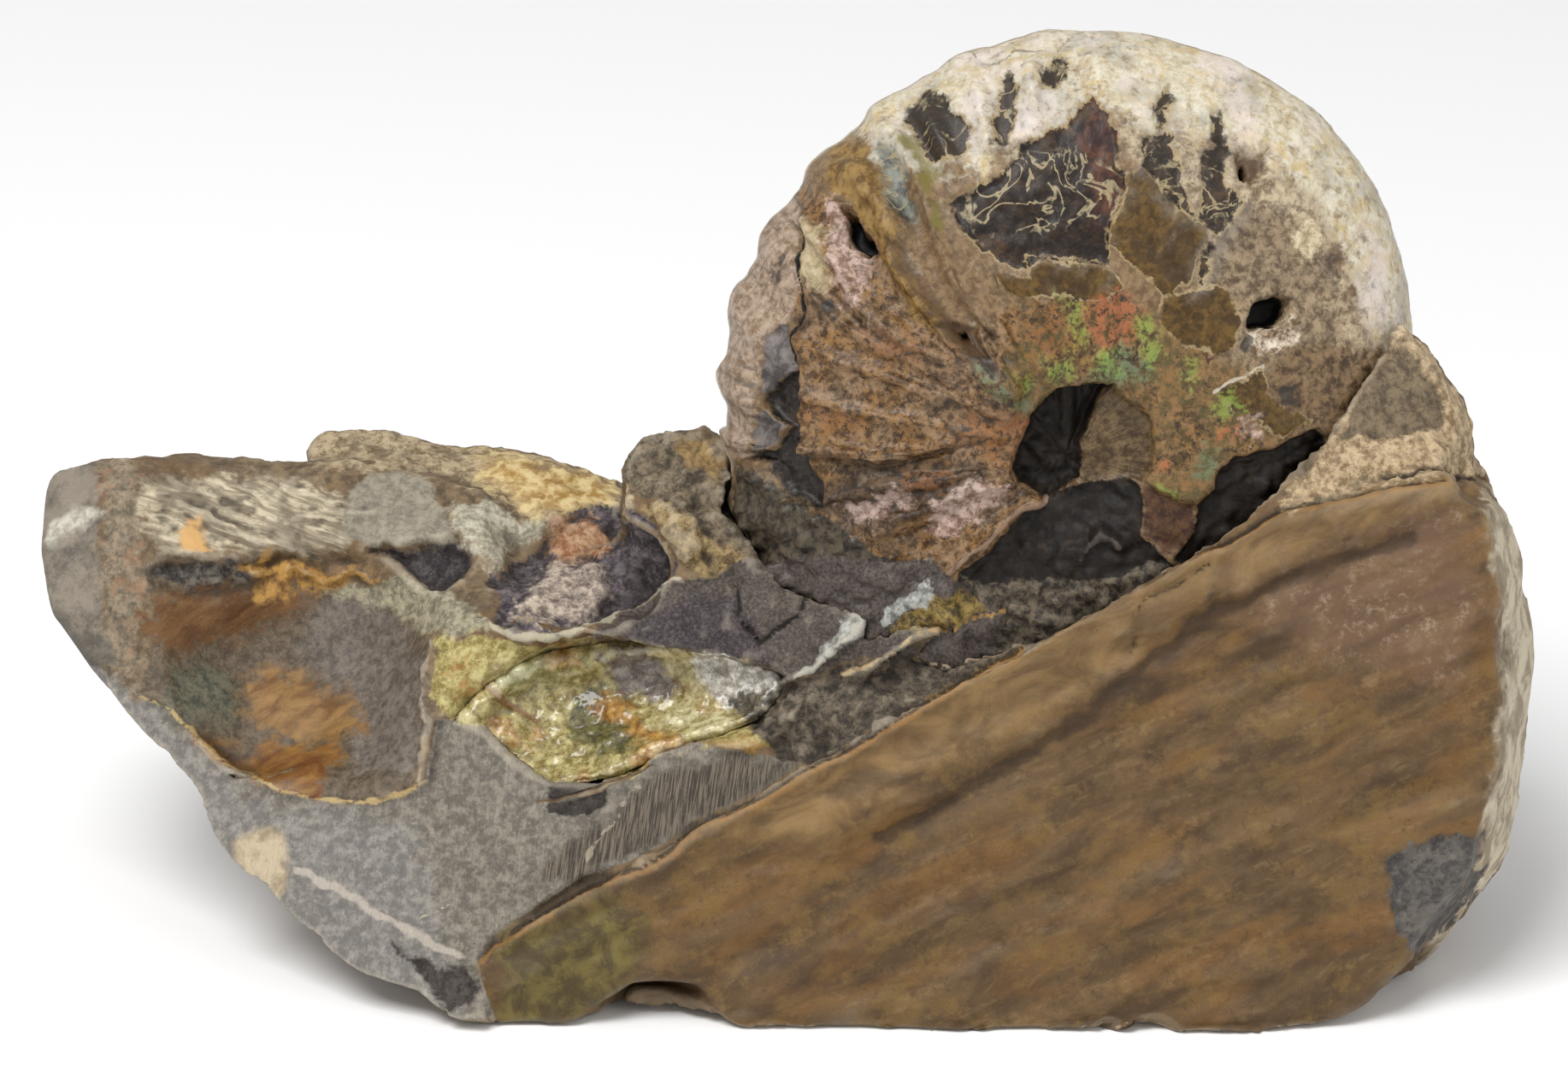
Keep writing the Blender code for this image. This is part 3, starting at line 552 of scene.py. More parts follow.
# How far each region stands out from the stone, how soft its edge is, and how rough it is
STONE_LIFTS = {
    "dark_pit": (-1.3, 0.6, 1.6), "purple": (-0.6, 0.4, 1.2), "purple_white": (0.6, 0.4, 1.6),
    "purple_orange": (0.5, 0.4, 1.0), "laminated": (0.1, 0.4, 1.3), "dark_band": (-0.5, 0.4, 1.4),
    "dark_patch": (-0.3, 0.15, 0.8), "dark_chip": (-0.35, 0.2, 0.8), "grey_chip": (-0.3, 0.2, 0.3),
    "blue_chip": (0.25, 0.15, 0.6), "blue_chip_2": (0.25, 0.15, 0.6), "white_calcite": (0.35, 0.3, 1.2),
    "cream_slab": (0.25, 0.2, 0.6), "purple_patch": (0.15, 0.2, 0.8), "rubble": (-0.2, 0.3, 2.2),
    "purple_rock": (-0.1, 0.3, 0.5), "middle": (0.1, 0.2, 0.9), "slab": (0.1, 0.2, 1.3),
    "shard": (0.0, 0.2, 2.0), "band": (0.0, 0.3, 0.3), "left_face": (0.0, 0.3, 0.35),
    "ochre_band": (0.1, 0.2, 1.8),
    "rim": (0.0, 0.3, 1.0), "scoop": (0.0, 0.2, 0.12), "sawn": (0.0, 0.2, 0.08),
    "brown": (0.0, 0.2, 0.32), "flat_face": (0.0, 0.2, 0.4), "left_white": (0.15, 0.4, 0.6),
    "ledge_front": (-0.3, 0.3, 0.8), "trough": (0.0, 0.2, 0.7), "pale_bevel": (0.2, 0.3, 0.8),
}
STONE_GROOVES = {
    "crease": (0.5, 0.8), "v_crack": (0.5, 0.16), "rock_crack": (0.4, 0.13), "notch_crack": (0.5, 0.2),
    "lip_line": (0.3, 0.22), "lip_scale": (0.35, 0.22),
}
# How far noise moves the outlines and lines, in pixels
STONE_WARP = 8.0
# The outlines and lines that stay as they are drawn, where the others are made uneven
EXACT = ("sawn", "brown", "lip_line")
# Height, scale and seed of the noises that make the stone's grain
STONE_GRAIN = ((0.3, 0.2, 1.0), (0.22, 0.6, 5.0), (0.1, 1.7, 9.0))
STONE_LINES = {
    "lip_scale": [(1322, 760), (1335, 712), (1360, 690), (1413, 662)],
    "lip_line": LIP,
    "crease": [
        (1030, 985), (1120, 930), (1230, 868), (1325, 795), (1405, 730), (1470, 690), (1560, 655),
        (1650, 630),
    ],
    "v_crack": [(863, 683), (864, 721), (893, 749), (935, 718), (952, 673), (949, 655)],
    "rock_crack": [(1031, 656), (1035, 693), (1028, 728)],
    "fin_edge": [(504, 748), (494, 810), (492, 870), (490, 916)],
    "scoop_edge": [
        (162, 810), (199, 829), (232, 862), (275, 900), (322, 924), (388, 938), (426, 942), (482, 921),
        (497, 914),
    ],
    "shell_line": [(348, 1020), (396, 1038), (467, 1087), (544, 1120)],
    "scratch": [(489, 1079), (538, 1052)],
    "vein": [(752, 912), (728, 935), (709, 961), (700, 985), (687, 1005)],
    "calcite_line": [(842, 804), (900, 800), (949, 780), (990, 749), (1024, 712)],
    "thin_plate": [(1084, 744), (1128, 729), (1174, 718)],
    "thin_plate_2": [(985, 793), (1038, 766), (1069, 749)],
    "notch_crack": [(1740, 556), (1700, 555), (1672, 548), (1620, 560)],
    "purple_rim": PURPLE_RIM,
    "golden_edge": [(303, 672), (350, 668), (374, 678), (410, 672), (445, 680)],
}

# How far the crust stands out past its solid, in millimetres, and its outlines and lines
CRUST_SPREAD = 0.35
SEAM_SPREAD = 0.22
SEAM_HALF_WIDTH = 1.2
CRUST_WARP = 4.0
CRUST_OUTLINES = {
    "dark_olive": [(664, 818), (704, 798), (759, 848), (739, 878), (699, 888), (665, 862)],
    "purple_piece": [(700, 765), (759, 760), (800, 800), (778, 824), (725, 812)],
    "amber": [(690, 828), (724, 812), (755, 850), (790, 860), (800, 880), (740, 900), (760, 870)],
    "cream_tail": [(785, 822), (840, 835), (905, 866), (905, 884), (828, 866), (776, 850)],
    "green_left": [(500, 740), (600, 745), (650, 790), (600, 800), (560, 790), (520, 780)],
    "cream_slab": [(750, 750), (828, 770), (846, 835), (811, 828), (794, 796)],
    "white_calcite": [(815, 765), (850, 758), (905, 772), (960, 780), (930, 812), (850, 828), (822, 805)],
    "dark_rock": [(850, 822), (905, 800), (970, 790), (960, 850), (880, 850)],
    "opening": [
        (500, 730), (640, 740), (760, 745), (860, 752), (960, 770), (960, 840), (906, 886), (830, 870),
        (772, 888), (741, 908), (709, 914), (650, 914), (606, 888), (566, 852), (506, 842),
    ],
}
CRUST_LINES = {
    "streak": [(556, 794), (589, 818), (630, 842)],
    "seam": [(532, 841), (579, 800), (620, 775), (662, 758), (740, 750)],
}

# How finely the meshes are made
SHELL_HIDDEN_FROM = -135.0
SHELL_VIEW_FROM = -9.0
SHELL_VIEW_TO = 225.0
SHELL_RINGS_IN_VIEW = 560
SHELL_RINGS_IN_STONE = 80
SHELL_FRONT_ROWS = 104
SHELL_BACK_ROWS = 38
# Each side's innermost row, as a share of the radius, and how much its rows crowd towards the edge
FRONT_HUB = 0.012
BACK_HUB = 0.03
FRONT_CROWDING = 1.35
BACK_CROWDING = 1.5
STONE_VOXEL = 0.37
CRUST_VOXEL = 0.24
MOST_TRIANGLES = 194000
BACK_FACING = 0.05
BACK_THINNING = 0.3
STONE_SMOOTHING = 10
CRUST_SMOOTHING = 6

# What the photograph shows fades in between these, as a surface turns to face its camera
SEEN_FROM = 0.02
SEEN_FULLY = 0.25
# Depths and distances are stored up to this many millimetres
FAR = 3.0
# Points are drawn in over this much room, to stay this far inside the CAD model's box
BOX_ROOM = 1.0
BOX_GAP = 0.01

# The studio: sizes and places in metres, power in watts
FLOOR_HALF = 3.0
FLOOR_GREY = 246
FLOOR_ROUGHNESS = 0.6
WORLD_STRENGTH = 0.5
LIGHT_AIM = Vector((0.0, 0.0, 0.03))
LIGHTS = (("key", (-0.25, -0.35, 0.75), 0.4, 6.4), ("fill", (0.6, -0.4, 0.35), 0.6, 1.5))


def smooth(low, high, value):
    share = np.clip((value - low) / (high - low), 0.0, 1.0)
    return share * share * (3.0 - 2.0 * share)


def photo_places(points):
    """The photograph's pixels at which points, in millimetres, appear."""
    sine, cosine = math.sin(CAMERA_ELEVATION), math.cos(CAMERA_ELEVATION)
    offset = points - CAMERA_TARGET
    up = offset[:, 1] * sine + offset[:, 2] * cosine
    away = offset[:, 1] * cosine - offset[:, 2] * sine
    shrink = CAMERA_DISTANCE / (CAMERA_DISTANCE + away) / PIXEL
    across = PHOTO_WIDTH / 2 + offset[:, 0] * shrink
    down = PHOTO_HEIGHT / 2 - up * shrink
    return np.stack((across, down), axis=1)


def facing(normals):
    """How squarely normals face the photograph's camera, from -1 to 1."""
    return -normals[:, 1] * math.cos(CAMERA_ELEVATION) + normals[:, 2] * math.sin(CAMERA_ELEVATION)


def line_distance(places, line):
    """The distance of each place from a line of points."""
    nearest = np.full(len(places), 1e9)
    for start, end in zip(line, line[1:]):
        start, end = np.array(start, float), np.array(end, float)
        along = end - start
        share = np.clip(((places - start) @ along) / max(along @ along, 1e-9), 0.0, 1.0)
        gap = places - start - share[:, None] * along
        nearest = np.minimum(nearest, np.hypot(gap[:, 0], gap[:, 1]))
    return nearest


def inside(places, outline):
    """True where a place lies inside a closed outline."""
    within = np.zeros(len(places), bool)
    for (x0, y0), (x1, y1) in zip(outline, outline[1:] + outline[:1]):
        if y0 == y1:
            continue
        crosses = (places[:, 1] < y0) != (places[:, 1] < y1)
        cut = x0 + (places[:, 1] - y0) * (x1 - x0) / (y1 - y0)
        within ^= crosses & (places[:, 0] < cut)
    return within


def depth_inside(places, outline):
    """Millimetres inside a closed outline of pixels, negative outside it."""
    distance = line_distance(places, outline + outline[:1])
    return np.where(inside(places, outline), distance, -distance) * PIXEL


def depth_in_any(places, outlines):
    return np.max([depth_inside(places, outline) for outline in outlines], axis=0)


def line_distances(places, table):
    """Millimetres from each of the lines in a table."""
    return {name: line_distance(places, line) * PIXEL for name, line in table.items()}


def ridge(distance, width):
    """1 on a line, falling away to its sides."""
    return np.exp(-((distance / width) ** 2))


def crest_relief(places, crests):
    """The height of crests that follow lines of pixels."""
    return sum(height * ridge(line_distance(places, line) * PIXEL, width) for height, width, line in crests)


def groove_relief(lines, grooves):
    """The depth of grooves that follow named lines."""
    return sum(deep * ridge(lines[name], width) for name, (deep, width) in grooves.items())


def held_in_box(points):
    """Points drawn in where they would leave the CAD model's box."""
    low, high = np.array(CAD_BOX[0]) / MM, np.array(CAD_BOX[1]) / MM
    middle = (low + high) / 2
    half = (high - low) / 2 - BOX_GAP
    offset = points - middle
    beyond = np.abs(offset) - (half - BOX_ROOM)
    reach = np.maximum(beyond.max(axis=0), BOX_ROOM)
    inner = np.sign(offset) * (half - BOX_ROOM + beyond * BOX_ROOM / reach)
    return middle + np.where(beyond > 0, inner, offset)


def noise_at(points, scale, seed, octaves):
    """Smooth noise, about -1 to 1, with features of about 1 / scale millimetres."""
    shift = Vector((seed, 2.3 * seed, -1.7 * seed))
    total = np.zeros(len(points))
    for octave in range(octaves):
        finer = scale * 2.1**octave
        total += np.array([noise.noise(Vector(point) * finer + shift) for point in points]) * 0.5**octave
    return total


def facets_at(points, scale):
    """A relief of blocky chips with sharp valleys between them, about -0.5 to 0.5."""
    near = np.array([noise.voronoi(Vector(point) * scale)[0][:2] for point in points])
    return np.clip(near[:, 1] - near[:, 0], 0.0, 0.6) - 0.3


def shift_at(points, scale):
    """Noise in two directions, which makes outlines uneven."""
    return np.stack((noise_at(points, scale, 3.1, 3), noise_at(points, scale, 7.7, 3)), axis=1)


def linked(name, data):
    """A new object in the scene."""
    obj = bpy.data.objects.new(name, data)
    bpy.context.scene.collection.objects.link(obj)
    return obj


def declare(piece, node):
    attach(piece, "root")
    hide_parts(node)


def add_attribute(mesh, name, values):
    layer = mesh.attributes.new(name, "FLOAT", "POINT")
    layer.data.foreach_set("value", np.asarray(values, np.float32))


def store_places(mesh, seen, depths, lines):
    """Stores the depths inside regions and the distances from lines, where the photograph shows them."""
    for name, value in depths.items():
        add_attribute(mesh, name, np.where(seen, np.clip(value, -FAR, FAR), -FAR))
    for name, value in lines.items():
        add_attribute(mesh, name, np.where(seen, np.clip(value, 0.0, FAR), FAR))


class Paint:
    """A material whose colours are laid one on another."""

    def __init__(self, name):
        self.material = bpy.data.materials.new(name)
        self.material.use_nodes = True
        self.tree = self.material.node_tree
        self.shader = self.tree.nodes["Principled BSDF"]
        place = self.node("TexCoord", "Object", {})
        self.place = self.node("VectorMath", 0, {0: place, "Scale": 1.0 / MM}, operation="SCALE")

    def node(self, kind, output, inputs, **settings):
        """An output of a new node that has these settings and inputs."""
        made = self.tree.nodes.new("ShaderNode" + kind)
        for name, value in settings.items():
            setattr(made, name, value)
        for key, value in inputs.items():
            self.plug(value, made.inputs[key])
        return made.outputs[output]

    def plug(self, value, socket):
        if isinstance(value, bpy.types.NodeSocket):
            self.tree.links.new(value, socket)
        else:
            socket.default_value = value

    def noise(self, scale, detail=4.0, rough=0.55, stretch=None, turn=None, distortion=0.0, place=None):
        """Noise from 0 to 1, stretched by millimetres along axes that are turned by degrees."""
        inputs = {"Scale": scale, "Detail": detail, "Roughness": rough, "Distortion": distortion}
        inputs["Vector"] = place or self.stretched(stretch, turn)
        return self.node("TexNoise", "Fac", inputs)

    def joined(self, first, second):
        """A place made of two numbers."""
        return self.node("CombineXYZ", 0, {0: first, 1: second, 2: 0.0})

    def stretched(self, stretch, turn):
        if not stretch:
            return self.place
        angles = [math.radians(angle) for angle in turn]
        inputs = {"Vector": self.place, "Scale": stretch, "Rotation": angles}
        return self.node("Mapping", "Vector", inputs, vector_type="TEXTURE")

    def math(self, operation, first, second=0.0):
        return self.node("Math", 0, {0: first, 1: second}, operation=operation)

    def times(self, first, second):
        return self.math("MULTIPLY", first, second)

    def higher(self, first, second):
        return self.math("MAXIMUM", first, second)

    def value(self, attribute):
        return self.node("Attribute", "Fac", {}, attribute_name=attribute)

    def step(self, value, low, high):
        """0 below low, 1 above high, smooth between."""
        inputs = {"From Min": low, "From Max": high, "Value": value}
        return self.node("MapRange", "Result", inputs, interpolation_type="SMOOTHSTEP")

    def near(self, distance, width):
        """1 where a distance is small, 0 from so many millimetres on."""
        return self.math("SUBTRACT", 1.0, self.step(distance, 0.4 * width, width))

    def uneven(self, attribute, wobble, reach):
        """A stored distance made uneven by noise."""
        value = self.value(attribute)
        if wobble is None:
            return value
        return self.math("ADD", value, self.times(self.math("SUBTRACT", wobble, 0.5), reach))

    def region(self, attribute, soft, wobble=None, reach=0.0):
        """1 inside a region whose attribute is the depth inside it, with an uneven edge."""
        return self.step(self.uneven(attribute, wobble, 5.0 * reach), -soft, soft)

    def edge(self, attribute, width, wobble, reach):
        """1 along the edge of a region."""
        return self.near(self.math("ABSOLUTE", self.uneven(attribute, wobble, 5.0 * reach)), width)

    def line(self, attribute, width, wobble, reach):
        """1 along a line whose attribute is the distance from it."""
        return self.near(self.uneven(attribute, wobble, 2.5 * reach), width)

    def contour(self, value, level, width):
        """1 where a value is close to a level, which draws thin winding lines."""
        return self.near(self.math("ABSOLUTE", self.math("SUBTRACT", value, level)), width)

    def mix(self, share, below, above, kind="RGBA"):
        return self.node("Mix", "Result", {"Factor": share, "A": below, "B": above}, data_type=kind)

    def blend(self, share, below, above):
        """Mixes two numbers."""
        return self.mix(share, below, above, "FLOAT")

    def two(self, value, dark, light, low=0.38, high=0.62):
        """Two colours spread by a value."""
        return self.mix(self.step(value, low, high), colour(*dark), colour(*light))

    def over(self, tint, shade, *shares):
        """A colour laid over another where all the shares are high."""
        share = shares[0]
        for other in shares[1:]:
            share = self.times(share, other)
        return self.mix(share, tint, colour(*shade) if isinstance(shade, tuple) else shade)

    def laid(self, tint, layers, wobble):
        """Layers over a colour: name, colour, softness and reach of the edge, and a share under 1."""
        for name, shade, soft, reach, *share in layers:
            tint = self.over(tint, shade, self.region(name, soft, wobble, reach), *share)
        return tint

    def drawn(self, tint, strokes, wobble):
        """Lines over a colour: name, width, reach of the unevenness, colour and share."""
        for name, width, reach, shade, share in strokes:
            tint = self.over(tint, shade, self.line(name, width, wobble, reach), share)
        return tint

    def bump(self, height, distance, strength):
        """Raises the surface by a height from 0 to 1 of so many millimetres."""
        inputs = {"Strength": strength, "Distance": distance * MM, "Height": height}
        if self.shader.inputs["Normal"].is_linked:
            inputs["Normal"] = self.shader.inputs["Normal"].links[0].from_socket
        self.plug(self.node("Bump", "Normal", inputs), self.shader.inputs["Normal"])

    def finish(self, tint, roughness, **sockets):
        self.plug(tint, self.shader.inputs["Base Color"])
        self.plug(roughness, self.shader.inputs["Roughness"])
        for name, value in sockets.items():
            self.plug(value, self.shader.inputs[name.replace("_", " ")])
        return self.material


def colour(red, green, blue):
    """A colour from the 0 to 255 values of a picture."""
    def linear(part):
        part /= 255.0
        return part / 12.92 if part <= 0.04045 else ((part + 0.055) / 1.055) ** 2.4
    return (linear(red), linear(green), linear(blue), 1.0)


# The shell


def coil_radius(angles):
    table = np.array(COIL_RADIUS_AT, float)
    total = np.zeros_like(angles)
    steps = (-8, -4, 0, 4, 8)
    for step in steps:
        total += np.interp((angles + step + 180.0) % 360.0 - 180.0, table[:, 0], table[:, 1])
    return total / len(steps)


def half_width(share, radius, side):
    """Half the coil's thickness. The umbilicus is a round pit at the back only."""
    dome = np.maximum(0.0, 1.0 - share**2.7) ** 0.52
    out = share * radius
    pit = UMBILICUS_DEPTH * (1.0 - smooth(0.72 * UMBILICUS_RADIUS, 1.15 * UMBILICUS_RADIUS, out))
    basin = 0.9 * (1.0 - smooth(0.8 * UMBILICUS_RADIUS, 1.7 * UMBILICUS_RADIUS, out))
    return COIL_HALF_WIDTH * dome - np.where(side > 0, pit, basin)


def rib_relief(angles, share):
    phase = (angles + RIB_SWEEP * (share**2 - 1.0) - RIB_FIRST) / RIB_SPACING
    waver = 0.12 * np.sin(0.9 * angles) + 0.1 * np.sin(0.37 * angles + 1.0)
    main = np.cos(2.0 * math.pi * (phase + 0.3 * waver))
    fine = np.cos(4.0 * math.pi * phase)
    outer = smooth(0.45, 0.8, share)
    table = np.array(RIB_STRENGTH_AT, float)
    strength = np.interp(angles, table[:, 0], table[:, 1]) * (1.0 + waver)
    return strength * smooth(0.17, 0.5, share) * (main * (1.0 - 0.1 * outer) + 0.1 * outer * fine)


def grid_normals(grid):
    """Outward normals of a grid of points that is closed round its first axis."""
    round_axis = np.roll(grid, -1, axis=0) - np.roll(grid, 1, axis=0)
    along = np.gradient(grid, axis=1)
    normal = np.cross(along, round_axis)
    return normal / np.maximum(np.linalg.norm(normal, axis=2, keepdims=True), 1e-9)


def shell_grid():
    """The shell's surface before its finer relief: angles, shares of the radius, and points."""
    hidden = np.linspace(SHELL_HIDDEN_FROM, SHELL_VIEW_FROM, SHELL_RINGS_IN_STONE, endpoint=False)
    in_view = np.linspace(SHELL_VIEW_FROM, SHELL_VIEW_TO, SHELL_RINGS_IN_VIEW, endpoint=False)
    angles = (np.concatenate((hidden, in_view)) + 180.0) % 360.0 - 180.0
    front = np.linspace(FRONT_HUB, 1.0, SHELL_FRONT_ROWS)
    front = 1.0 - (1.0 - front) ** FRONT_CROWDING
    back = np.linspace(1.0, BACK_HUB, SHELL_BACK_ROWS + 1)[1:]
    share = np.concatenate((front, 1.0 - (1.0 - back) ** BACK_CROWDING))[None, :]
    side = np.concatenate((-np.ones(len(front)), np.ones(len(back))))[None, :]
    angle = angles[:, None]
    radius = coil_radius(angle)
    relief = rib_relief(angle, share)
    edge = smooth(0.8, 1.0, share)
    knob = KNOB_HEIGHT * np.maximum(0.0, relief) * edge
    reach = radius * share + edge * (RIB_OUTLINE * RIB_HEIGHT * relief + knob)
    in_photo = (side < 0) & (share < 0.93)
    kept = np.where(in_photo, FLANK_RIBS + (1.0 - FLANK_RIBS) * smooth(0.78, 0.95, share), 1.0)
    thick = np.maximum(0.0, half_width(share, radius, side) + RIB_HEIGHT * kept * relief * (1.0 - edge))
    thick = thick * np.where(share < 1.0, 1.0, 0.0)
    flat_x = np.cos(np.radians(angle)) * reach + HUB_OFFSET[0] * (1.0 - share)
    flat_z = np.sin(np.radians(angle)) * reach + HUB_OFFSET[1] * (1.0 - share)
    local = np.stack(np.broadcast_arrays(flat_x, side * thick, flat_z), axis=2)
    cosine, sine = math.cos(COIL_LEAN), math.sin(COIL_LEAN)
    turned = np.stack((
        local[..., 0],
        local[..., 1] * cosine + local[..., 2] * sine,
        local[..., 2] * cosine - local[..., 1] * sine,
    ), axis=2)
    return angles, share[0], turned + np.array(COIL_CENTRE)


def shell_faces(rings, rows):
    faces = []
    for ring in range(rings):
        following = (ring + 1) % rings
        start, after = ring * rows, following * rows
        faces += [(start + row, start + row + 1, after + row + 1, after + row) for row in range(rows - 1)]
        faces.append((rings * rows, start, after))
        faces.append((after + rows - 1, start + rows - 1, rings * rows + 1))
    return faces


def make_shell():
    angles, share, grid = shell_grid()
    rings, rows = grid.shape[:2]
    normals = grid_normals(grid).reshape(-1, 3)
    points = grid.reshape(-1, 3)
    seen = smooth(SEEN_FROM, SEEN_FULLY, facing(normals)) * (points[:, 1] < SHELL_SEEN_BEFORE)
    shift = shift_at(points, 0.5)
    uneven = photo_places(points) + SHELL_WARP * shift
    depth = {name: depth_in_any(uneven, outlines) for name, outlines in SHELL_OUTLINES.items()}
    lines = line_distances(uneven, SHELL_LINES)
    lift = crest_relief(uneven, SHELL_CRESTS)
    lift *= 1.0 - 0.9 * smooth(-0.5, 0.5, depth["mould"])
    lift *= smooth(0.995, 0.9, np.tile(share, rings))
    rocky = smooth(-0.3, 0.3, np.maximum.reduce([depth[name] for name in ROCKY_ON_SHELL]))
    chosen = rocky > 0.0
    chips = 0.9 * facets_at(points[chosen], 0.6) + 0.35 * noise_at(points[chosen], 0.35, 17.0, 3)
    lift[chosen] += rocky[chosen] * chips
    lift += 0.5 * ridge(lines["mould_ridge"], 0.45)
    steps = [amount * smooth(-soft, soft, depth[name]) for name, (amount, soft) in SHELL_LIFTS.items()]
    lift += np.minimum.reduce(steps) + sum(np.maximum(0.0, raised) for raised in steps)
    lift -= groove_relief(lines, SHELL_GROOVES)
    lift += 0.14 * shift[:, 0] + 0.06 * noise_at(points, 2.2, 11.0, 2)
    lift = lift * seen + 0.12 * (1.0 - seen) * shift[:, 1]
    points = points + lift[:, None] * normals
    grid = points.reshape(rings, rows, 3)
    hubs = np.stack((grid[:, 0].mean(axis=0), grid[:, -1].mean(axis=0)))
    points = held_in_box(np.concatenate((points, hubs)))
    mesh = bpy.data.meshes.new("ammonite_shell")
    mesh.from_pydata([tuple(point) for point in points * MM], [], shell_faces(rings, rows))
    mesh.shade_smooth()

    def with_hubs(value):
        return np.append(value, value[[0, -1]])

    depth = {name: with_hubs(value) for name, value in depth.items()}
    lines = {name: with_hubs(value) for name, value in lines.items()}
    store_places(mesh, with_hubs(seen) > 0.5, depth, lines)
    around = np.radians(np.where(angles < -160, angles + 360, angles))
    add_attribute(mesh, "around", with_hubs(np.repeat(around, rows)))
    add_attribute(mesh, "outward", with_hubs(np.tile(share, rings)))
    add_attribute(mesh, "seen", with_hubs(seen))
    mesh.materials.append(paint_shell())
    declare(linked("ammonite_shell", mesh), "ammonite")


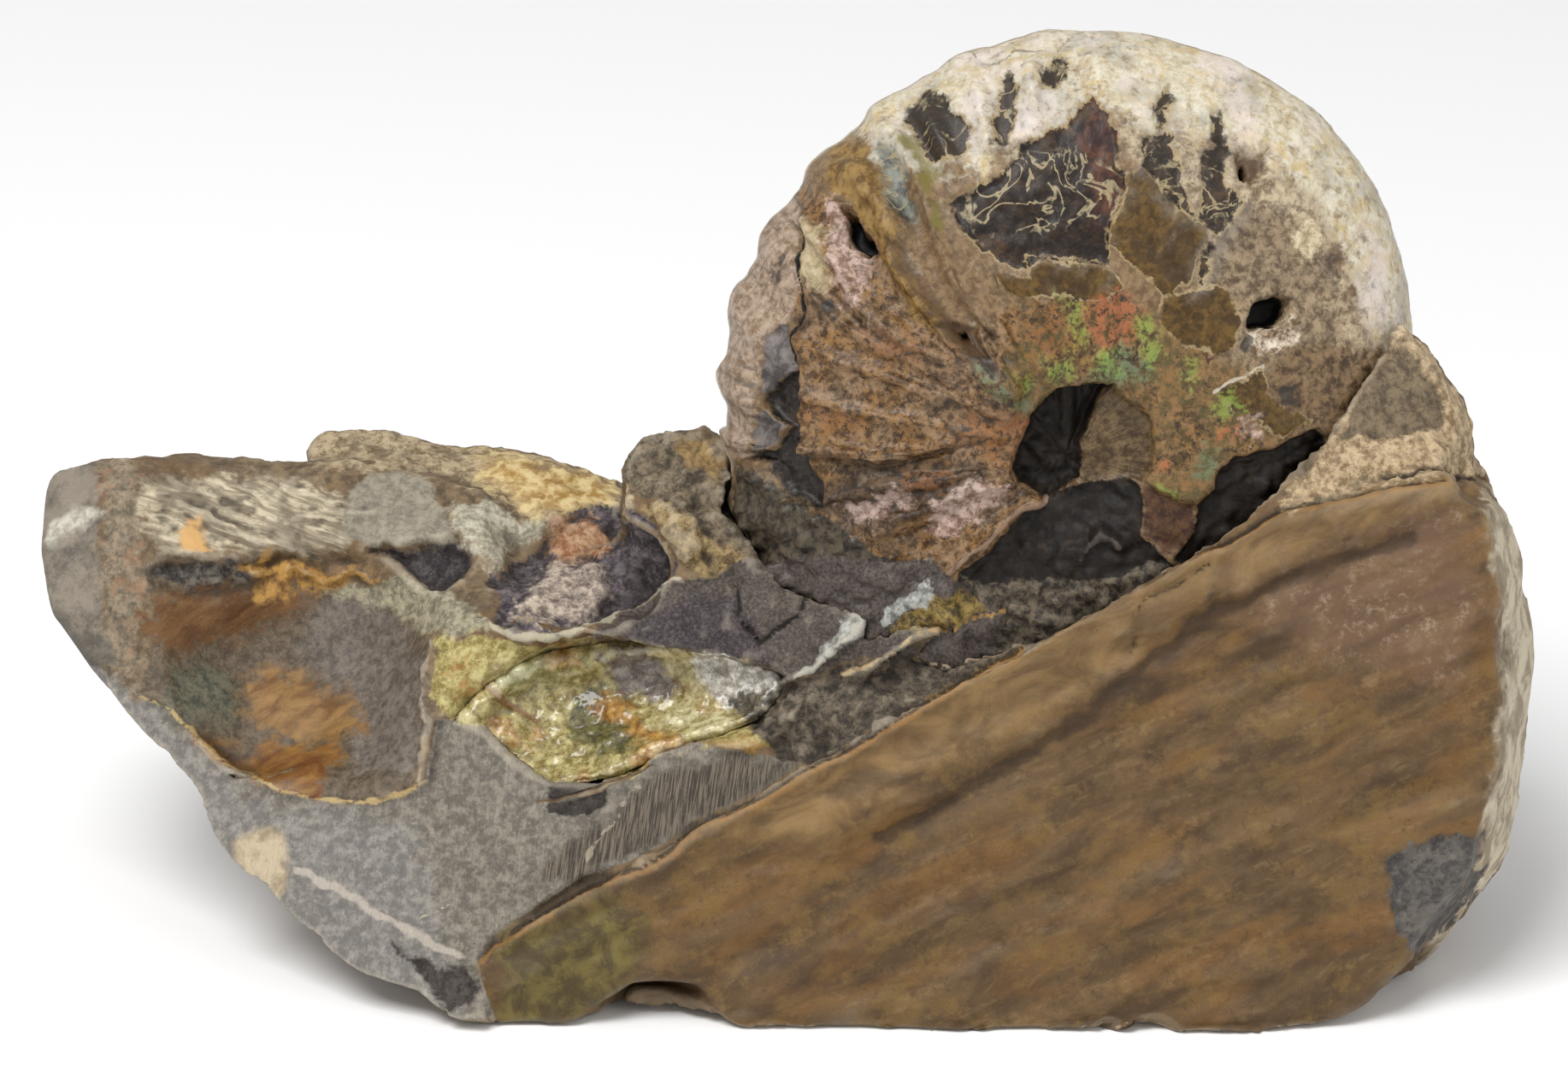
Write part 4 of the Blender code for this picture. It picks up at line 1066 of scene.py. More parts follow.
def paint_shell():
    paint = Paint("shell_paint")
    two, over, step = paint.two, paint.over, paint.step
    broad = paint.noise(0.16, 3.0)
    patch = paint.noise(0.3, 6.0, 0.7)
    wobble = paint.noise(0.9, 5.0, 0.65)
    mottle = paint.noise(0.6, 5.0, 0.65, distortion=0.6)
    speckle = paint.noise(1.3, 6.0, 0.75, distortion=0.3)
    grain = paint.noise(4.0, 5.0, 0.7)
    around = paint.times(paint.value("around"), 30.0)
    outward = paint.times(paint.value("outward"), 9.0)
    growth = paint.noise(1.0, 5.0, 0.65, place=paint.joined(around, outward))
    tan = two(speckle, (96, 75, 52), (136, 112, 82))
    tan = over(tan, (81, 66, 48), step(growth, 0.5, 0.72))
    cream = two(speckle, (206, 198, 178), (174, 160, 130), 0.4, 0.62)
    cream = over(cream, (188, 162, 102), step(mottle, 0.48, 0.62), 0.6)
    cream = over(cream, (156, 155, 150), step(patch, 0.5, 0.6), 0.5)
    cream = over(cream, (216, 203, 199), step(broad, 0.5, 0.66), 0.55)
    cream = over(cream, (140, 126, 104), step(growth, 0.56, 0.7), 0.3)
    cream = over(cream, (118, 104, 88), step(speckle, 0.54, 0.64), step(patch, 0.44, 0.54), 0.6)
    outer = step(paint.math("ADD", paint.value("outward"), paint.times(mottle, 0.2)), 0.86, 1.02)
    tint = paint.mix(paint.value("seen"), paint.mix(outer, tan, cream), tan)
    pink = two(speckle, (68, 50, 32), (144, 116, 86), 0.36, 0.6)
    pink = over(pink, two(speckle, (74, 50, 24), (136, 100, 54)), step(patch, 0.49, 0.56), 0.8)
    pink = over(pink, two(speckle, (36, 27, 20), (92, 72, 52)), step(patch, 0.47, 0.38), 0.8)
    pink = over(pink, (60, 45, 34), step(growth, 0.54, 0.7), 0.45)
    plate = two(speckle, (58, 41, 15), (102, 77, 34), 0.36, 0.64)
    plate = over(plate, (56, 40, 22), step(patch, 0.5, 0.6), 0.65)
    dark = two(speckle, (22, 14, 9), (55, 39, 26), 0.42, 0.68)
    dark = over(dark, (84, 62, 40), step(patch, 0.52, 0.64), 0.6)
    charcoal = two(speckle, (15, 10, 6), (44, 34, 25), 0.42, 0.68)
    shoulder = two(speckle, (80, 72, 42), (130, 98, 60))
    shoulder = over(shoulder, pink, step(patch, 0.46, 0.54), 0.6)
    strip = two(speckle, (118, 95, 73), (170, 151, 132))
    strip = over(strip, (74, 65, 56), step(growth, 0.5, 0.66), 0.7)
    whorl = two(speckle, (62, 46, 26), (112, 92, 64))
    whorl = over(whorl, (52, 36, 20), step(growth, 0.48, 0.62), 0.6)
    rubble = two(speckle, (38, 33, 28), (112, 100, 83), 0.38, 0.66)
    ragged_layers = (
        ("cream", cream, 1.3, 3.4),
        ("right_mix", two(speckle, (104, 86, 62), (190, 172, 142)), 0.8, 1.8, 0.85),
    )
    layers = (
        ("pink_flank", pink, 0.5, 0.6),
        # The darker flank below the torn shell edge is partly the flank's own brown and partly painted shadow
        # under that edge
        ("flank_dark", two(speckle, (32, 24, 18), (86, 68, 50)), 0.8, 0.8, 0.85),
        ("shoulder", shoulder, 0.6, 0.8),
        ("strip", strip, 0.15, 0.15),
        ("tan_rib", two(wobble, (88, 62, 22), (146, 117, 68)), 0.4, 0.5),
        ("olive", (114, 107, 49), 0.4, 0.6, 0.85),
        ("grey_patch", two(speckle, (66, 54, 44), (122, 108, 90)), 0.6, 0.9, 0.95),
        ("brown_haze", two(speckle, (84, 68, 50), (150, 130, 102)), 0.7, 0.9, 0.85),
        ("glossy", two(speckle, (64, 47, 31), (128, 104, 74)), 0.4, 0.7), ("plates", plate, 0.07, 0.35),
        ("flake", two(speckle, (150, 130, 98), (208, 194, 164)), 0.12, 0.35, 0.9),
        ("windows", (138, 133, 124), 1.3, 0.8, 0.6), ("phragmocone", (126, 112, 92), 0.9, 0.9, 0.6),
        ("blue_cells", two(mottle, (50, 56, 56), (122, 126, 116)), 0.3, 0.5, 0.9),
        ("windows", dark, 0.2, 0.4, 0.95),
        ("phragmocone", dark, 0.14, 0.4),
        ("red_brown", two(mottle, (40, 25, 23), (92, 54, 34)), 0.3, 0.5, 0.9),
    )
    tint = paint.laid(tint, ragged_layers, patch)
    tint = paint.laid(tint, layers, wobble)
    broken = step(patch, 0.42, 0.54)
    sutured = paint.higher(paint.region("suture_band", 0.5, wobble, 0.6), paint.region("blue_cells", 0.1))
    sutured = paint.higher(sutured, paint.times(paint.region("windows", 0.1), broken))
    sutures = paint.contour(paint.noise(0.32, 2.5, 0.5, distortion=1.8), 0.5, 0.036)
    tint = over(tint, (158, 144, 112), sutures, sutured, step(speckle, 0.36, 0.5), 0.85)
    for name in ("phragmocone", "windows", "plates"):
        tint = over(tint, (166, 146, 108), paint.edge(name, 0.16, wobble, 0.38), broken, 0.7)
    sheens = (
        ("orange", (134, 86, 46), 0.7, 1.1, 0.6), ("red_sheen", (168, 92, 60), 0.5, 1.0, 0.55),
        ("teal", (74, 118, 92), 0.5, 1.0, 0.55), ("green_sheen", (124, 150, 66), 0.4, 1.1, 0.65),
    )
    glint = paint.blend(0.5, growth, speckle)
    for name, shade, soft, reach, share in sheens:
        tint = over(tint, shade, paint.region(name, soft, glint, reach), step(speckle, 0.42, 0.54), share)
    specks = paint.times(step(paint.noise(2.1, 4.0, 0.7), 0.54, 0.6), step(patch, 0.44, 0.54))
    flank = paint.higher(paint.region("pink_flank", 0.5), paint.region("shoulder", 0.5))
    tint = over(tint, (42, 30, 28), specks, flank, 0.8)
    layers = (
        ("pink_sheen", two(speckle, (118, 90, 72), (202, 178, 168)), 0.4, 0.9, 0.7),
        ("cream_spot", two(speckle, (150, 134, 100), (186, 170, 138)), 0.4, 0.5, 0.9),
        # The dark furrow beside the broad rib is painted shade in that valley
        ("furrow", (70, 50, 30), 0.4, 0.4, 0.9),
        ("brown_pit", (72, 48, 28), 0.4, 0.4, 0.9),
        ("crystals", two(speckle, (104, 74, 46), (222, 210, 190)), 0.3, 0.5, 0.9),
        ("grey_lumps", two(mottle, (66, 61, 60), (120, 112, 108)), 0.12, 0.3),
        ("dark_spots", (46, 44, 41), 0.2, 0.4, 0.8),
        ("inner_whorl", whorl, 0.1, 0.15),
        ("red_wall", two(speckle, (52, 30, 20), (90, 62, 40)), 0.3, 0.4), ("lens", charcoal, 0.06, 0.1),
        # The dark left_gap is painted shade in the deep gap between the shell and the stone
        ("mould", charcoal, 0.08, 0.15), ("left_gap", two(speckle, (24, 19, 16), (60, 52, 46)), 0.1, 0.15),
        ("stone_cover", two(speckle, (36, 31, 26), (86, 76, 60)), 0.1, 0.3),
        ("cover_rubble", rubble, 0.12, 0.3),
        ("cover_middle", two(grain, (56, 49, 45), (92, 82, 75)), 0.1, 0.2),
        ("cover_yellow", two(speckle, (60, 50, 30), (150, 126, 70)), 0.2, 0.3),
        ("cover_chip", two(speckle, (108, 108, 102), (176, 177, 170)), 0.15, 0.4),
    )
    tint = paint.laid(tint, layers, wobble)
    strokes = (
        ("rib_shadow", 0.8, 0.4, (66, 46, 26), 0.6), ("mould_ridge", 0.25, 0.3, (84, 74, 66), 0.6),
        # The pale shell_edge line is partly the shell's pale broken edge and partly a painted highlight on
        # that ridge
        ("shell_edge", 0.3, 0.2, (202, 168, 146), 0.5), ("whorl_step", 0.14, 0.2, (216, 208, 192), 0.5),
        ("venter_scallops", 0.14, 0.1, (92, 84, 72), 0.6), ("venter_edge", 0.14, 0.1, (120, 108, 92), 0.5),
        # The dark torn_edge line is painted shadow just under the torn shell edge
        ("cover_plate", 0.2, 0.2, (166, 128, 72), 0.8), ("torn_edge", 0.16, 0.2, (60, 44, 34), 0.6),
    )
    tint = paint.drawn(tint, strokes, wobble)
    bare = paint.higher(paint.region("lens", 0.06), paint.region("mould", 0.06))
    # Near black fills the deep holes as painted shade, and draws the dark crack line
    hole_shade_and_crack = paint.higher(paint.region("holes", 0.06, wobble, 0.1), paint.line("crack", 0.2, wobble, 0.1))
    tint = over(tint, (6, 5, 4), hole_shade_and_crack)
    tint = over(tint, over(tint, (50, 38, 28), 0.7), step(grain, 0.55, 0.8), 0.35)
    paint.bump(growth, 0.08, 0.3)
    paint.bump(speckle, 0.14, 0.4)
    paint.bump(grain, 0.06, 0.4)
    rough = paint.blend(step(grain, 0.3, 0.7), 0.28, 0.52)
    rough = paint.blend(paint.higher(bare, hole_shade_and_crack), rough, 0.6)
    return paint.finish(tint, rough, Specular_IOR_Level=0.3)


# The stone


def mesh_arrays(mesh):
    points = np.zeros(len(mesh.vertices) * 3)
    mesh.vertices.foreach_get("co", points)
    normals = np.zeros(len(mesh.vertices) * 3)
    mesh.vertices.foreach_get("normal", normals)
    return points.reshape(-1, 3) / MM, normals.reshape(-1, 3)


def set_points(mesh, points):
    mesh.vertices.foreach_set("co", (points * MM).ravel())
    mesh.update()


def smoothed(mesh, points, rounds):
    """Points drawn half way to the middle of their neighbours, so many times."""
    edges = np.zeros(len(mesh.edges) * 2, int)
    mesh.edges.foreach_get("vertices", edges)
    first, second = edges.reshape(-1, 2).T
    count = np.bincount(first, minlength=len(points)) + np.bincount(second, minlength=len(points))
    for _ in range(rounds):
        total = np.zeros_like(points)
        for axis in range(3):
            total[:, axis] = np.bincount(first, points[second, axis], len(points))
            total[:, axis] += np.bincount(second, points[first, axis], len(points))
        points = points + 0.5 * (total / count[:, None] - points)
    return points


def flattened(points, share, face_point, face_normal):
    """Points moved onto a plane, by a share from 0 to 1."""
    above = (points - face_point) @ face_normal
    return points - (share * above)[:, None] * face_normal


def applied(obj):
    """The object's mesh with its modifiers applied."""
    bpy.context.view_layer.update()
    mesh = bpy.data.meshes.new_from_object(obj.evaluated_get(bpy.context.evaluated_depsgraph_get()))
    obj.modifiers.clear()
    return mesh


def remeshed_copy(node, name, voxel):
    """A finer, even mesh of a node of the CAD model, thinned out at the back if it has too many triangles."""
    copy = linked(name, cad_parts[node].data.copy())
    remesh = copy.modifiers.new("even", "REMESH")
    remesh.mode = "VOXEL"
    remesh.voxel_size = voxel * MM
    copy.data = applied(copy)
    triangles = sum(len(polygon.vertices) - 2 for polygon in copy.data.polygons)
    if triangles > MOST_TRIANGLES:
        back = np.nonzero(facing(mesh_arrays(copy.data)[1]) < BACK_FACING)[0]
        copy.vertex_groups.new(name="back").add(back.tolist(), 1.0, "REPLACE")
        thin = copy.modifiers.new("thin", "DECIMATE")
        thin.vertex_group = "back"
        thin.vertex_group_factor = BACK_THINNING
        thin.ratio = MOST_TRIANGLES / triangles
        copy.data = applied(copy)
        copy.vertex_groups.clear()
    copy.data.materials.clear()
    copy.data.shade_smooth()
    return copy


def eased(mesh, rounds):
    """Smooths a mesh, and gives its points and normals."""
    set_points(mesh, smoothed(mesh, mesh_arrays(mesh)[0], rounds))
    return mesh_arrays(mesh)


def store_hollow(mesh, rounds):
    """Stores how far each point lies below the middle of its neighbours, in millimetres."""
    points, normals = mesh_arrays(mesh)
    add_attribute(mesh, "hollow", ((smoothed(mesh, points, rounds) - points) * normals).sum(axis=1))


def make_stone():
    stone = remeshed_copy("matrix", "stone", STONE_VOXEL)
    shape_stone(stone.data)
    stone.data.materials.append(paint_stone())
    declare(stone, "matrix")


def shape_stone(mesh):
    """Gives the plain solid its faces, breaks and grain, and stores where each kind of surface is."""
    points, normals = eased(mesh, STONE_SMOOTHING)
    exact = photo_places(points)
    uneven = exact + STONE_WARP * shift_at(points, 0.4)
    seen = smooth(SEEN_FROM, SEEN_FULLY, facing(normals))

    def places(name):
        return exact if name in EXACT else uneven

    depth = {name: depth_inside(places(name), outline) for name, outline in STONE_OUTLINES.items()}
    lines = {name: line_distance(places(name), line) * PIXEL for name, line in STONE_LINES.items()}
    share = {name: smooth(-soft, soft, depth[name]) * seen for name, (_, soft, _) in STONE_LIFTS.items()}
    front = points[:, 1] < FACES_BEFORE_Y
    share["sawn"] *= front
    share["brown"] *= front
    set_back = SAWN_POINT - SAWN_SET_BACK * SAWN_NORMAL
    points = flattened(points, SAWN_FLATNESS * share["sawn"], set_back, SAWN_NORMAL)
    rim = np.maximum(smooth(*BROWN_END_X, points[:, 0]), smooth(*BROWN_FOOT_Z, points[:, 2]))
    forward = smooth(0.35, 0.75, normals @ BROWN_NORMAL)
    flat = BROWN_FLATNESS * share["brown"] * (1.0 - rim * (1.0 - forward))
    points = flattened(points, flat, BROWN_POINT, BROWN_NORMAL)
    relief = np.zeros(len(points))
    rough = np.ones(len(points))
    for name, (lift, soft, roughness) in STONE_LIFTS.items():
        relief += lift * share[name]
        rough += share[name] * (roughness - rough)
    ground = smooth(-0.3, -0.65, normals[:, 0]) * (points[:, 0] < LEFT_GROUND_BEFORE_X)
    rough *= 1.0 + ground * (LEFT_ROUGHNESS - 1.0)
    points[:, 0] -= LEFT_REACH * smooth(*LEFT_END_X, points[:, 0])
    relief += seen * (crest_relief(uneven, STONE_CRESTS) - groove_relief(lines, STONE_GROOVES))
    grain = sum(height * noise_at(points, scale, seed, 2) for height, scale, seed in STONE_GRAIN)
    grain = rough * (grain + 0.2 * facets_at(points, 0.55))
    leaning = points * np.array((0.12, 1.0, 0.8)) - points[:, 2:] * np.array((0.06, 0.0, 0.0))
    silk = noise_at(leaning, 0.55, 13.0, 3)
    along = points[:, 0] * math.cos(LIP_SLOPE) + points[:, 2] * math.sin(LIP_SLOPE)
    across = points[:, 2] * math.cos(LIP_SLOPE) - points[:, 0] * math.sin(LIP_SLOPE)
    waves = noise_at(np.stack((0.22 * along, 0.2 * points[:, 1], across), axis=1), 0.3, 19.0, 3)
    grain += share["brown"] * (0.22 * silk + 0.6 * waves)
    floor_share = smooth(0.0, 1.2, points[:, 2])
    set_points(mesh, held_in_box(points + ((relief + grain) * floor_share)[:, None] * normals))
    store_hollow(mesh, 14)
    store_places(mesh, seen > 0.5, depth, lines)


def paint_stone():
    paint = Paint("stone_paint")
    two, over, step = paint.two, paint.over, paint.step
    slope = (0.0, -27.0, 0.0)
    broad = paint.noise(0.1, 3.0)
    patch = paint.noise(0.25, 6.0, 0.7)
    wobble = paint.noise(0.8, 5.0, 0.65)
    mottle = paint.noise(0.45, 6.0, 0.68, distortion=0.5)
    speckle = paint.noise(1.2, 6.0, 0.78, distortion=0.2)
    grain = paint.noise(4.0, 5.0, 0.75)
    streak = paint.noise(1.0, 5.0, 0.6, stretch=(7.0, 5.0, 3.0), turn=slope, distortion=0.9)
    drift = paint.noise(1.0, 5.0, 0.6, stretch=(22.0, 9.0, 7.0), turn=slope, distortion=0.4)
    silk = paint.noise(1.0, 4.0, 0.6, stretch=(4.0, 2.0, 1.0), turn=slope, distortion=0.5)
    saw = paint.noise(1.0, 3.0, 0.6, stretch=(0.12, 3.0, 2.0), turn=(0.0, 9.0, 0.0))
    bedding = paint.noise(1.0, 5.0, 0.6, stretch=(10.0, 10.0, 2.4), turn=(0.0, 14.0, 0.0), distortion=0.8)
    laminae = paint.noise(1.0, 4.0, 0.6, stretch=(3.2, 3.2, 0.36), turn=(0.0, 16.0, 0.0), distortion=0.6)
    rock = two(speckle, (84, 71, 55), (126, 106, 80))
    rock = over(rock, (142, 122, 94), step(bedding, 0.5, 0.66), 0.5)
    rock = over(rock, (62, 52, 42), step(patch, 0.52, 0.62), 0.6)
    rock = over(rock, (112, 84, 54), step(broad, 0.48, 0.6), 0.5)
    brown = two(streak, (74, 54, 31), (102, 79, 50), 0.32, 0.68)
    brown = over(brown, (124, 86, 38), step(drift, 0.5, 0.62), 0.5)
    brown = over(brown, (66, 48, 30), step(drift, 0.46, 0.32), 0.3)
    brown = over(brown, (120, 93, 46), step(patch, 0.48, 0.62), 0.5)
    brown = over(brown, (140, 114, 76), step(silk, 0.5, 0.7), step(speckle, 0.4, 0.6), 0.4)
    brown = over(brown, (60, 44, 28), step(patch, 0.46, 0.34), 0.35)
    brown = over(brown, (60, 45, 28), step(speckle, 0.48, 0.34), step(mottle, 0.56, 0.44), 0.5)
    # The paler upper right of the brown face, with whitish flecks, is partly pale flecks and partly a painted
    # highlight
    pale_flecks_and_highlight = paint.region("brown_pale", 2.0, patch, 1.5)
    brown = over(brown, (112, 86, 66), pale_flecks_and_highlight, 0.6)
    brown = over(brown, (176, 156, 134), step(speckle, 0.5, 0.64), step(streak, 0.4, 0.62), pale_flecks_and_highlight, 0.5)
    sawn = two(speckle, (98, 92, 83), (142, 134, 121), 0.4, 0.62)
    sawn = over(sawn, (88, 82, 73), step(saw, 0.48, 0.7), 0.45)
    ridge_rock = two(speckle, (96, 86, 70), (146, 130, 108))
    ridge_rock = over(ridge_rock, (150, 112, 84), step(patch, 0.52, 0.6), 0.6)
    grey = two(speckle, (56, 52, 50), (92, 87, 81))
    grey = over(grey, (128, 120, 110), step(patch, 0.52, 0.6), 0.4)
    rims = two(speckle, (108, 90, 66), (178, 160, 129), 0.36, 0.6)
    rims = over(rims, (92, 76, 56), step(patch, 0.5, 0.6), 0.6)
    laminated = two(laminae, (124, 112, 93), (200, 187, 160), 0.36, 0.64)
    laminated = over(laminated, (118, 107, 90), step(patch, 0.46, 0.58), 0.65)
    olive = over(two(speckle, (120, 104, 50), (186, 174, 118)), (146, 98, 42), step(patch, 0.53, 0.6), 0.6)
    layers = (
        ("brown", brown, 0.1, 0.1),
        # The lighter upper_strip between the lip and the crest below it is a painted highlight
        ("upper_strip", two(streak, (88, 66, 38), (134, 106, 66), 0.34, 0.66), 1.4, 1.2),
        # The darker under_ledge band below the crest is painted shade
        ("under_ledge", two(streak, (62, 45, 26), (96, 70, 40)), 0.9, 0.9),
        ("olive_corner", two(mottle, (70, 57, 30), (106, 93, 46)), 1.2, 1.2),
        ("band", two(mottle, (140, 127, 104), (196, 184, 160)), 0.6, 0.4), ("sawn", sawn, 0.06, 0.06),
        ("saw_blue", two(speckle, (110, 106, 101), (150, 144, 136), 0.4, 0.65), 1.2, 1.2),
        ("saw_ridges", two(saw, (58, 52, 45), (112, 102, 88), 0.4, 0.6), 0.6, 0.5),
        ("left_face", two(patch, (86, 80, 72), (134, 124, 110)), 0.3, 0.4),
        ("left_ridge", ridge_rock, 0.5, 0.6),
        ("left_white", two(speckle, (150, 146, 134), (196, 190, 174)), 0.4, 0.3),
        ("laminated", laminated, 0.6, 0.8),
        ("flat_face", two(speckle, (116, 109, 95), (151, 143, 126)), 0.2, 0.3),
        ("dark_band", two(speckle, (37, 34, 34), (106, 98, 88)), 0.4, 0.6),
        ("scoop", two(speckle, (70, 58, 44), (108, 94, 76)), 0.1, 0.12),
        ("scoop_top", two(silk, (84, 53, 25), (118, 84, 48), 0.3, 0.7), 0.8, 0.9),
        ("scoop_blue", two(speckle, (58, 60, 50), (104, 100, 82)), 1.0, 0.9),
        ("scoop_grey", two(speckle, (78, 70, 63), (122, 112, 101), 0.34, 0.66), 0.9, 0.9),
        ("scoop_orange", two(silk, (102, 68, 32), (152, 117, 70), 0.28, 0.7), 0.9, 1.1),
        ("scoop_rust", two(silk, (98, 57, 22), (144, 104, 50), 0.3, 0.7), 0.6, 0.8),
        ("golden_patch", two(wobble, (104, 70, 34), (176, 134, 68)), 0.5, 0.7),
        ("dark_pit", two(speckle, (30, 26, 28), (84, 76, 78), 0.4, 0.66), 0.3, 0.5),
        ("pale_bevel", two(speckle, (128, 122, 104), (196, 190, 168)), 0.4, 0.7),
        ("grey_slope", two(speckle, (104, 98, 80), (164, 156, 130)), 0.4, 0.6), ("rim", rims, 0.25, 0.4),
        ("rim_stain", two(wobble, (156, 120, 58), (212, 190, 138)), 0.9, 1.0),
        ("purple", two(speckle, (50, 43, 47), (116, 106, 108), 0.4, 0.66), 0.2, 0.4),
        ("purple_orange", two(speckle, (132, 84, 50), (188, 154, 120)), 0.4, 0.7),
        ("purple_white", two(speckle, (104, 90, 84), (196, 180, 162), 0.38, 0.64), 0.6, 1.0),
        ("shard", two(speckle, (62, 53, 42), (128, 114, 92)), 0.12, 0.2),
        ("shard_ochre", two(speckle, (104, 80, 46), (150, 124, 80)), 0.4, 0.5),
        ("ochre_band", two(speckle, (80, 61, 37), (162, 140, 98)), 0.3, 0.5),
        ("slab", two(speckle, (25, 21, 17), (60, 51, 41)), 0.15, 0.25),
        ("middle", two(grain, (60, 53, 48), (94, 84, 77)), 0.12, 0.2),
        ("purple_rock", two(grain, (46, 39, 41), (78, 69, 71)), 0.5, 0.7), ("trough", olive, 0.2, 0.4),
        ("purple_patch", two(speckle, (80, 70, 72), (146, 136, 130)), 0.3, 0.5),
        ("cream_slab", two(speckle, (156, 138, 84), (212, 200, 154)), 0.2, 0.4),
        ("white_calcite", two(speckle, (160, 150, 134), (242, 238, 228)), 0.4, 0.6),
        ("rubble", two(speckle, (46, 40, 34), (114, 102, 85), 0.36, 0.66), 0.2, 0.3),
        ("blue_chip", two(speckle, (104, 103, 97), (172, 173, 166)), 0.15, 0.4),
        ("blue_chip_2", two(speckle, (108, 108, 102), (176, 177, 170)), 0.15, 0.4),
        ("yellow_patch", two(speckle, (60, 50, 30), (150, 126, 70)), 0.3, 0.5),
        ("dark_patch", two(speckle, (40, 36, 33), (72, 65, 59)), 0.1, 0.3),
        ("fossil_section", two(mottle, (148, 132, 106), (190, 174, 146)), 0.4, 0.25),
        ("dark_chip", two(speckle, (42, 38, 36), (80, 72, 66)), 0.25, 0.4),
        ("grey_chip", grey, 0.2, 0.5),
        ("orange_spot", (204, 162, 104), 0.3, 0.3),
        ("ledge", two(speckle, (120, 99, 72), (194, 171, 136)), 0.25, 0.4),
        ("ledge_front", two(speckle, (80, 68, 53), (126, 110, 86)), 0.25, 0.4),
    )
    tint = paint.laid(rock, layers, wobble)
    strokes = (
        # The dark lip_line stroke is painted shadow in the crevice along the lip
        ("lip_line", 0.16, 0.12, (44, 34, 24), 0.8), ("v_crack", 0.2, 0.06, (22, 18, 16), 1.0),
        ("rock_crack", 0.14, 0.06, (30, 25, 22), 0.9), ("fin_edge", 0.14, 0.2, (170, 161, 148), 0.4),
        ("scoop_edge", 0.22, 0.16, (190, 164, 112), 0.75), ("shell_line", 0.42, 0.3, (188, 178, 164), 0.7),
        ("scratch", 0.14, 0.06, (186, 172, 150), 0.8), ("vein", 0.14, 0.3, (170, 158, 138), 0.6),
        ("calcite_line", 0.28, 0.3, (186, 182, 170), 0.7), ("thin_plate", 0.18, 0.2, (158, 116, 58), 0.8),
        ("thin_plate_2", 0.2, 0.3, (176, 150, 108), 0.8), ("notch_crack", 0.25, 0.15, (54, 42, 28), 0.9),
        ("purple_rim", 0.25, 0.3, (184, 180, 156), 0.6), ("golden_edge", 0.2, 0.3, (186, 142, 72), 0.6),
        # The dark crease stroke is painted shade in the crease
        ("lip_scale", 0.16, 0.15, (66, 48, 30), 0.6), ("crease", 0.7, 0.6, (58, 42, 24), 0.6),
    )
    on_brown = paint.region("brown", 0.1)
    # A painted highlight pales the lip's edge on the brown face
    tint = over(tint, (150, 110, 60), paint.line("lip_line", 0.7, wobble, 0.5), on_brown, 0.6)
    tint = paint.drawn(tint, strokes, wobble)
    plain = paint.blend(on_brown, 1.0, 0.35)
    darker = paint.mix(0.75, tint, colour(30, 24, 18))
    paler = paint.mix(0.5, tint, colour(226, 214, 190))
    # Painted shade darkens the stone's hollows and a painted highlight pales its raised bumps, both weaker on
    # the brown face
    hollow = paint.value("hollow")
    tint = over(tint, darker, step(hollow, 0.02, 0.22), plain, 0.85)
    tint = over(tint, paler, step(hollow, -0.06, -0.3), plain, 0.4)
    tint = over(tint, paler, step(grain, 0.54, 0.8), plain, 0.3)
    tint = over(tint, darker, step(grain, 0.5, 0.2), plain, 0.4)
    paint.bump(grain, 0.12, 0.45)
    paint.bump(speckle, 0.2, 0.4)
    paint.bump(paint.times(step(saw, 0.4, 0.6), paint.region("sawn", 0.1)), 0.1, 0.5)
    polished = paint.higher(paint.region("scoop", 0.2), paint.region("brown", 0.2))
    rough = paint.blend(polished, paint.blend(grain, 0.55, 0.85), paint.blend(grain, 0.34, 0.62))
    return paint.finish(tint, rough, Specular_IOR_Level=0.3)


# The calcite crust


def make_crust():
    crust = remeshed_copy("calcite_crust", "crust", CRUST_VOXEL)
    mesh = crust.data
    points, normals = eased(mesh, CRUST_SMOOTHING)
    places = photo_places(points) + CRUST_WARP * shift_at(points, 0.4)
    depth = {name: depth_inside(places, outline) for name, outline in CRUST_OUTLINES.items()}
    lines = line_distances(places, CRUST_LINES)
    front = smooth(0.1, 0.5, facing(normals))
    chips = 0.45 * facets_at(points, 0.5) + 0.3 * facets_at(points, 1.3)
    relief = chips + 0.25 * noise_at(points, 0.5, 21.0, 2)
    relief = np.minimum(relief + 0.35 * ridge(lines["streak"], 0.4), 0.2)
    spread = CRUST_SPREAD * smooth(-0.1, 0.5, depth["opening"])
    spread += SEAM_SPREAD * ridge(lines["seam"], SEAM_HALF_WIDTH)
    set_points(mesh, points + (relief * front + spread - 0.15)[:, None] * normals)
    store_hollow(mesh, 10)
    store_places(mesh, True, depth, lines)
    mesh.materials.append(paint_crust())
    declare(crust, "calcite_crust")


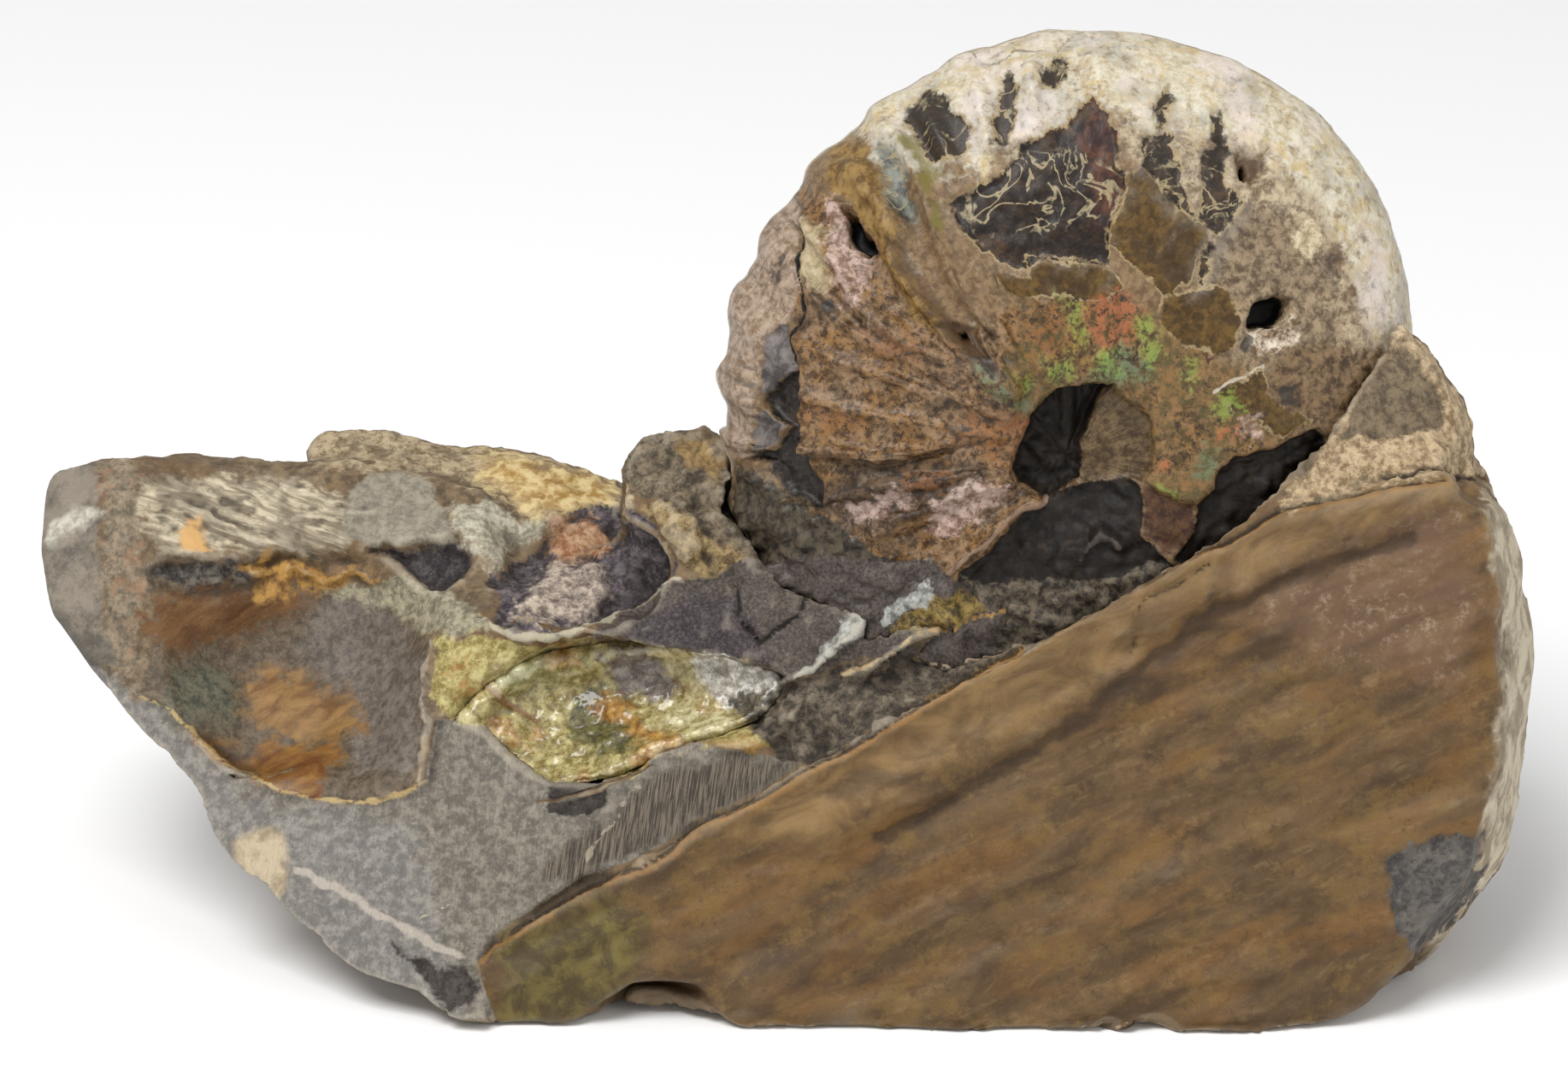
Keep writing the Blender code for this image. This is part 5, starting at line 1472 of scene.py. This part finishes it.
def paint_crust():
    paint = Paint("crust_paint")
    two, over, step = paint.two, paint.over, paint.step
    patch = paint.noise(0.25, 6.0, 0.7)
    wobble = paint.noise(0.8, 5.0, 0.65)
    speckle = paint.noise(1.2, 6.0, 0.78, distortion=0.2)
    grain = paint.noise(3.0, 5.0, 0.7)
    tint = two(speckle, (116, 100, 46), (190, 178, 122))
    tint = over(tint, two(speckle, (122, 78, 32), (176, 132, 66)), step(patch, 0.52, 0.6), 0.7)
    layers = (
        ("green_left", two(speckle, (116, 116, 70), (172, 172, 128)), 0.8, 1.0, 0.8),
        ("purple_piece", two(speckle, (84, 74, 74), (152, 142, 136)), 0.4, 0.6, 0.9),
        ("dark_olive", two(speckle, (48, 50, 24), (106, 102, 56)), 0.6, 0.8, 0.9),
        ("amber", two(speckle, (128, 80, 24), (190, 142, 64)), 0.5, 0.8, 0.8),
        ("cream_tail", two(speckle, (150, 138, 92), (212, 204, 160)), 0.4, 0.6, 0.9),
        ("cream_slab", two(speckle, (156, 138, 84), (212, 200, 154)), 0.3, 0.5, 0.9),
        ("white_calcite", two(speckle, (150, 140, 124), (242, 238, 228)), 0.4, 0.6),
        ("dark_rock", two(speckle, (42, 37, 32), (112, 101, 84)), 0.3, 0.5),
    )
    tint = paint.laid(tint, layers, wobble)
    tint = over(tint, (112, 66, 22), paint.line("streak", 0.4, wobble, 0.3), 0.8)
    # Painted shade darkens the crust's hollows and a painted highlight pales its raised bumps
    tint = over(tint, (84, 68, 28), step(paint.value("hollow"), 0.01, 0.16), 0.5)
    tint = over(tint, (236, 228, 196), step(paint.value("hollow"), -0.08, -0.25), 0.25)
    paint.bump(grain, 0.2, 0.6)
    return paint.finish(tint, paint.blend(step(grain, 0.3, 0.7), 0.12, 0.4), Coat_Weight=0.6)


# The studio


def make_floor():
    mesh = bpy.data.meshes.new("floor")
    signs = ((-1, -1), (1, -1), (1, 1), (-1, 1))
    mesh.from_pydata([(x * FLOOR_HALF, y * FLOOR_HALF, 0.0) for x, y in signs], [], [(0, 1, 2, 3)])
    floor = linked("floor", mesh)
    shade = colour(FLOOR_GREY, FLOOR_GREY, FLOOR_GREY)
    mesh.materials.append(Paint("floor_paint").finish(shade, FLOOR_ROUGHNESS))


def make_camera():
    sine, cosine = math.sin(CAMERA_ELEVATION), math.cos(CAMERA_ELEVATION)
    data = bpy.data.cameras.new("camera")
    data.sensor_width = SENSOR_WIDTH
    data.lens = SENSOR_WIDTH * CAMERA_DISTANCE / (PHOTO_WIDTH * PIXEL)
    data.clip_start = 0.01
    camera = linked("camera", data)
    back = Vector((0.0, -cosine, sine))
    camera.location = (Vector(CAMERA_TARGET) + back * CAMERA_DISTANCE) * MM
    camera.rotation_euler = (math.pi / 2 - CAMERA_ELEVATION, 0.0, 0.0)
    bpy.context.scene.camera = camera


def make_lights():
    bpy.context.scene.view_settings.view_transform = "Standard"
    world = bpy.data.worlds.new("studio")
    bpy.context.scene.world = world
    world.use_nodes = True
    background = world.node_tree.nodes["Background"]
    background.inputs["Color"].default_value = (1.0, 1.0, 1.0, 1.0)
    background.inputs["Strength"].default_value = WORLD_STRENGTH
    for name, place, size, power in LIGHTS:
        data = bpy.data.lights.new(name, "AREA")
        data.size = size
        data.energy = power
        light = linked(name, data)
        light.location = place
        light.rotation_euler = (LIGHT_AIM - light.location).to_track_quat("-Z", "Y").to_euler()


def main():
    make_camera()
    make_lights()
    make_floor()
    make_shell()
    make_stone()
    make_crust()


main()
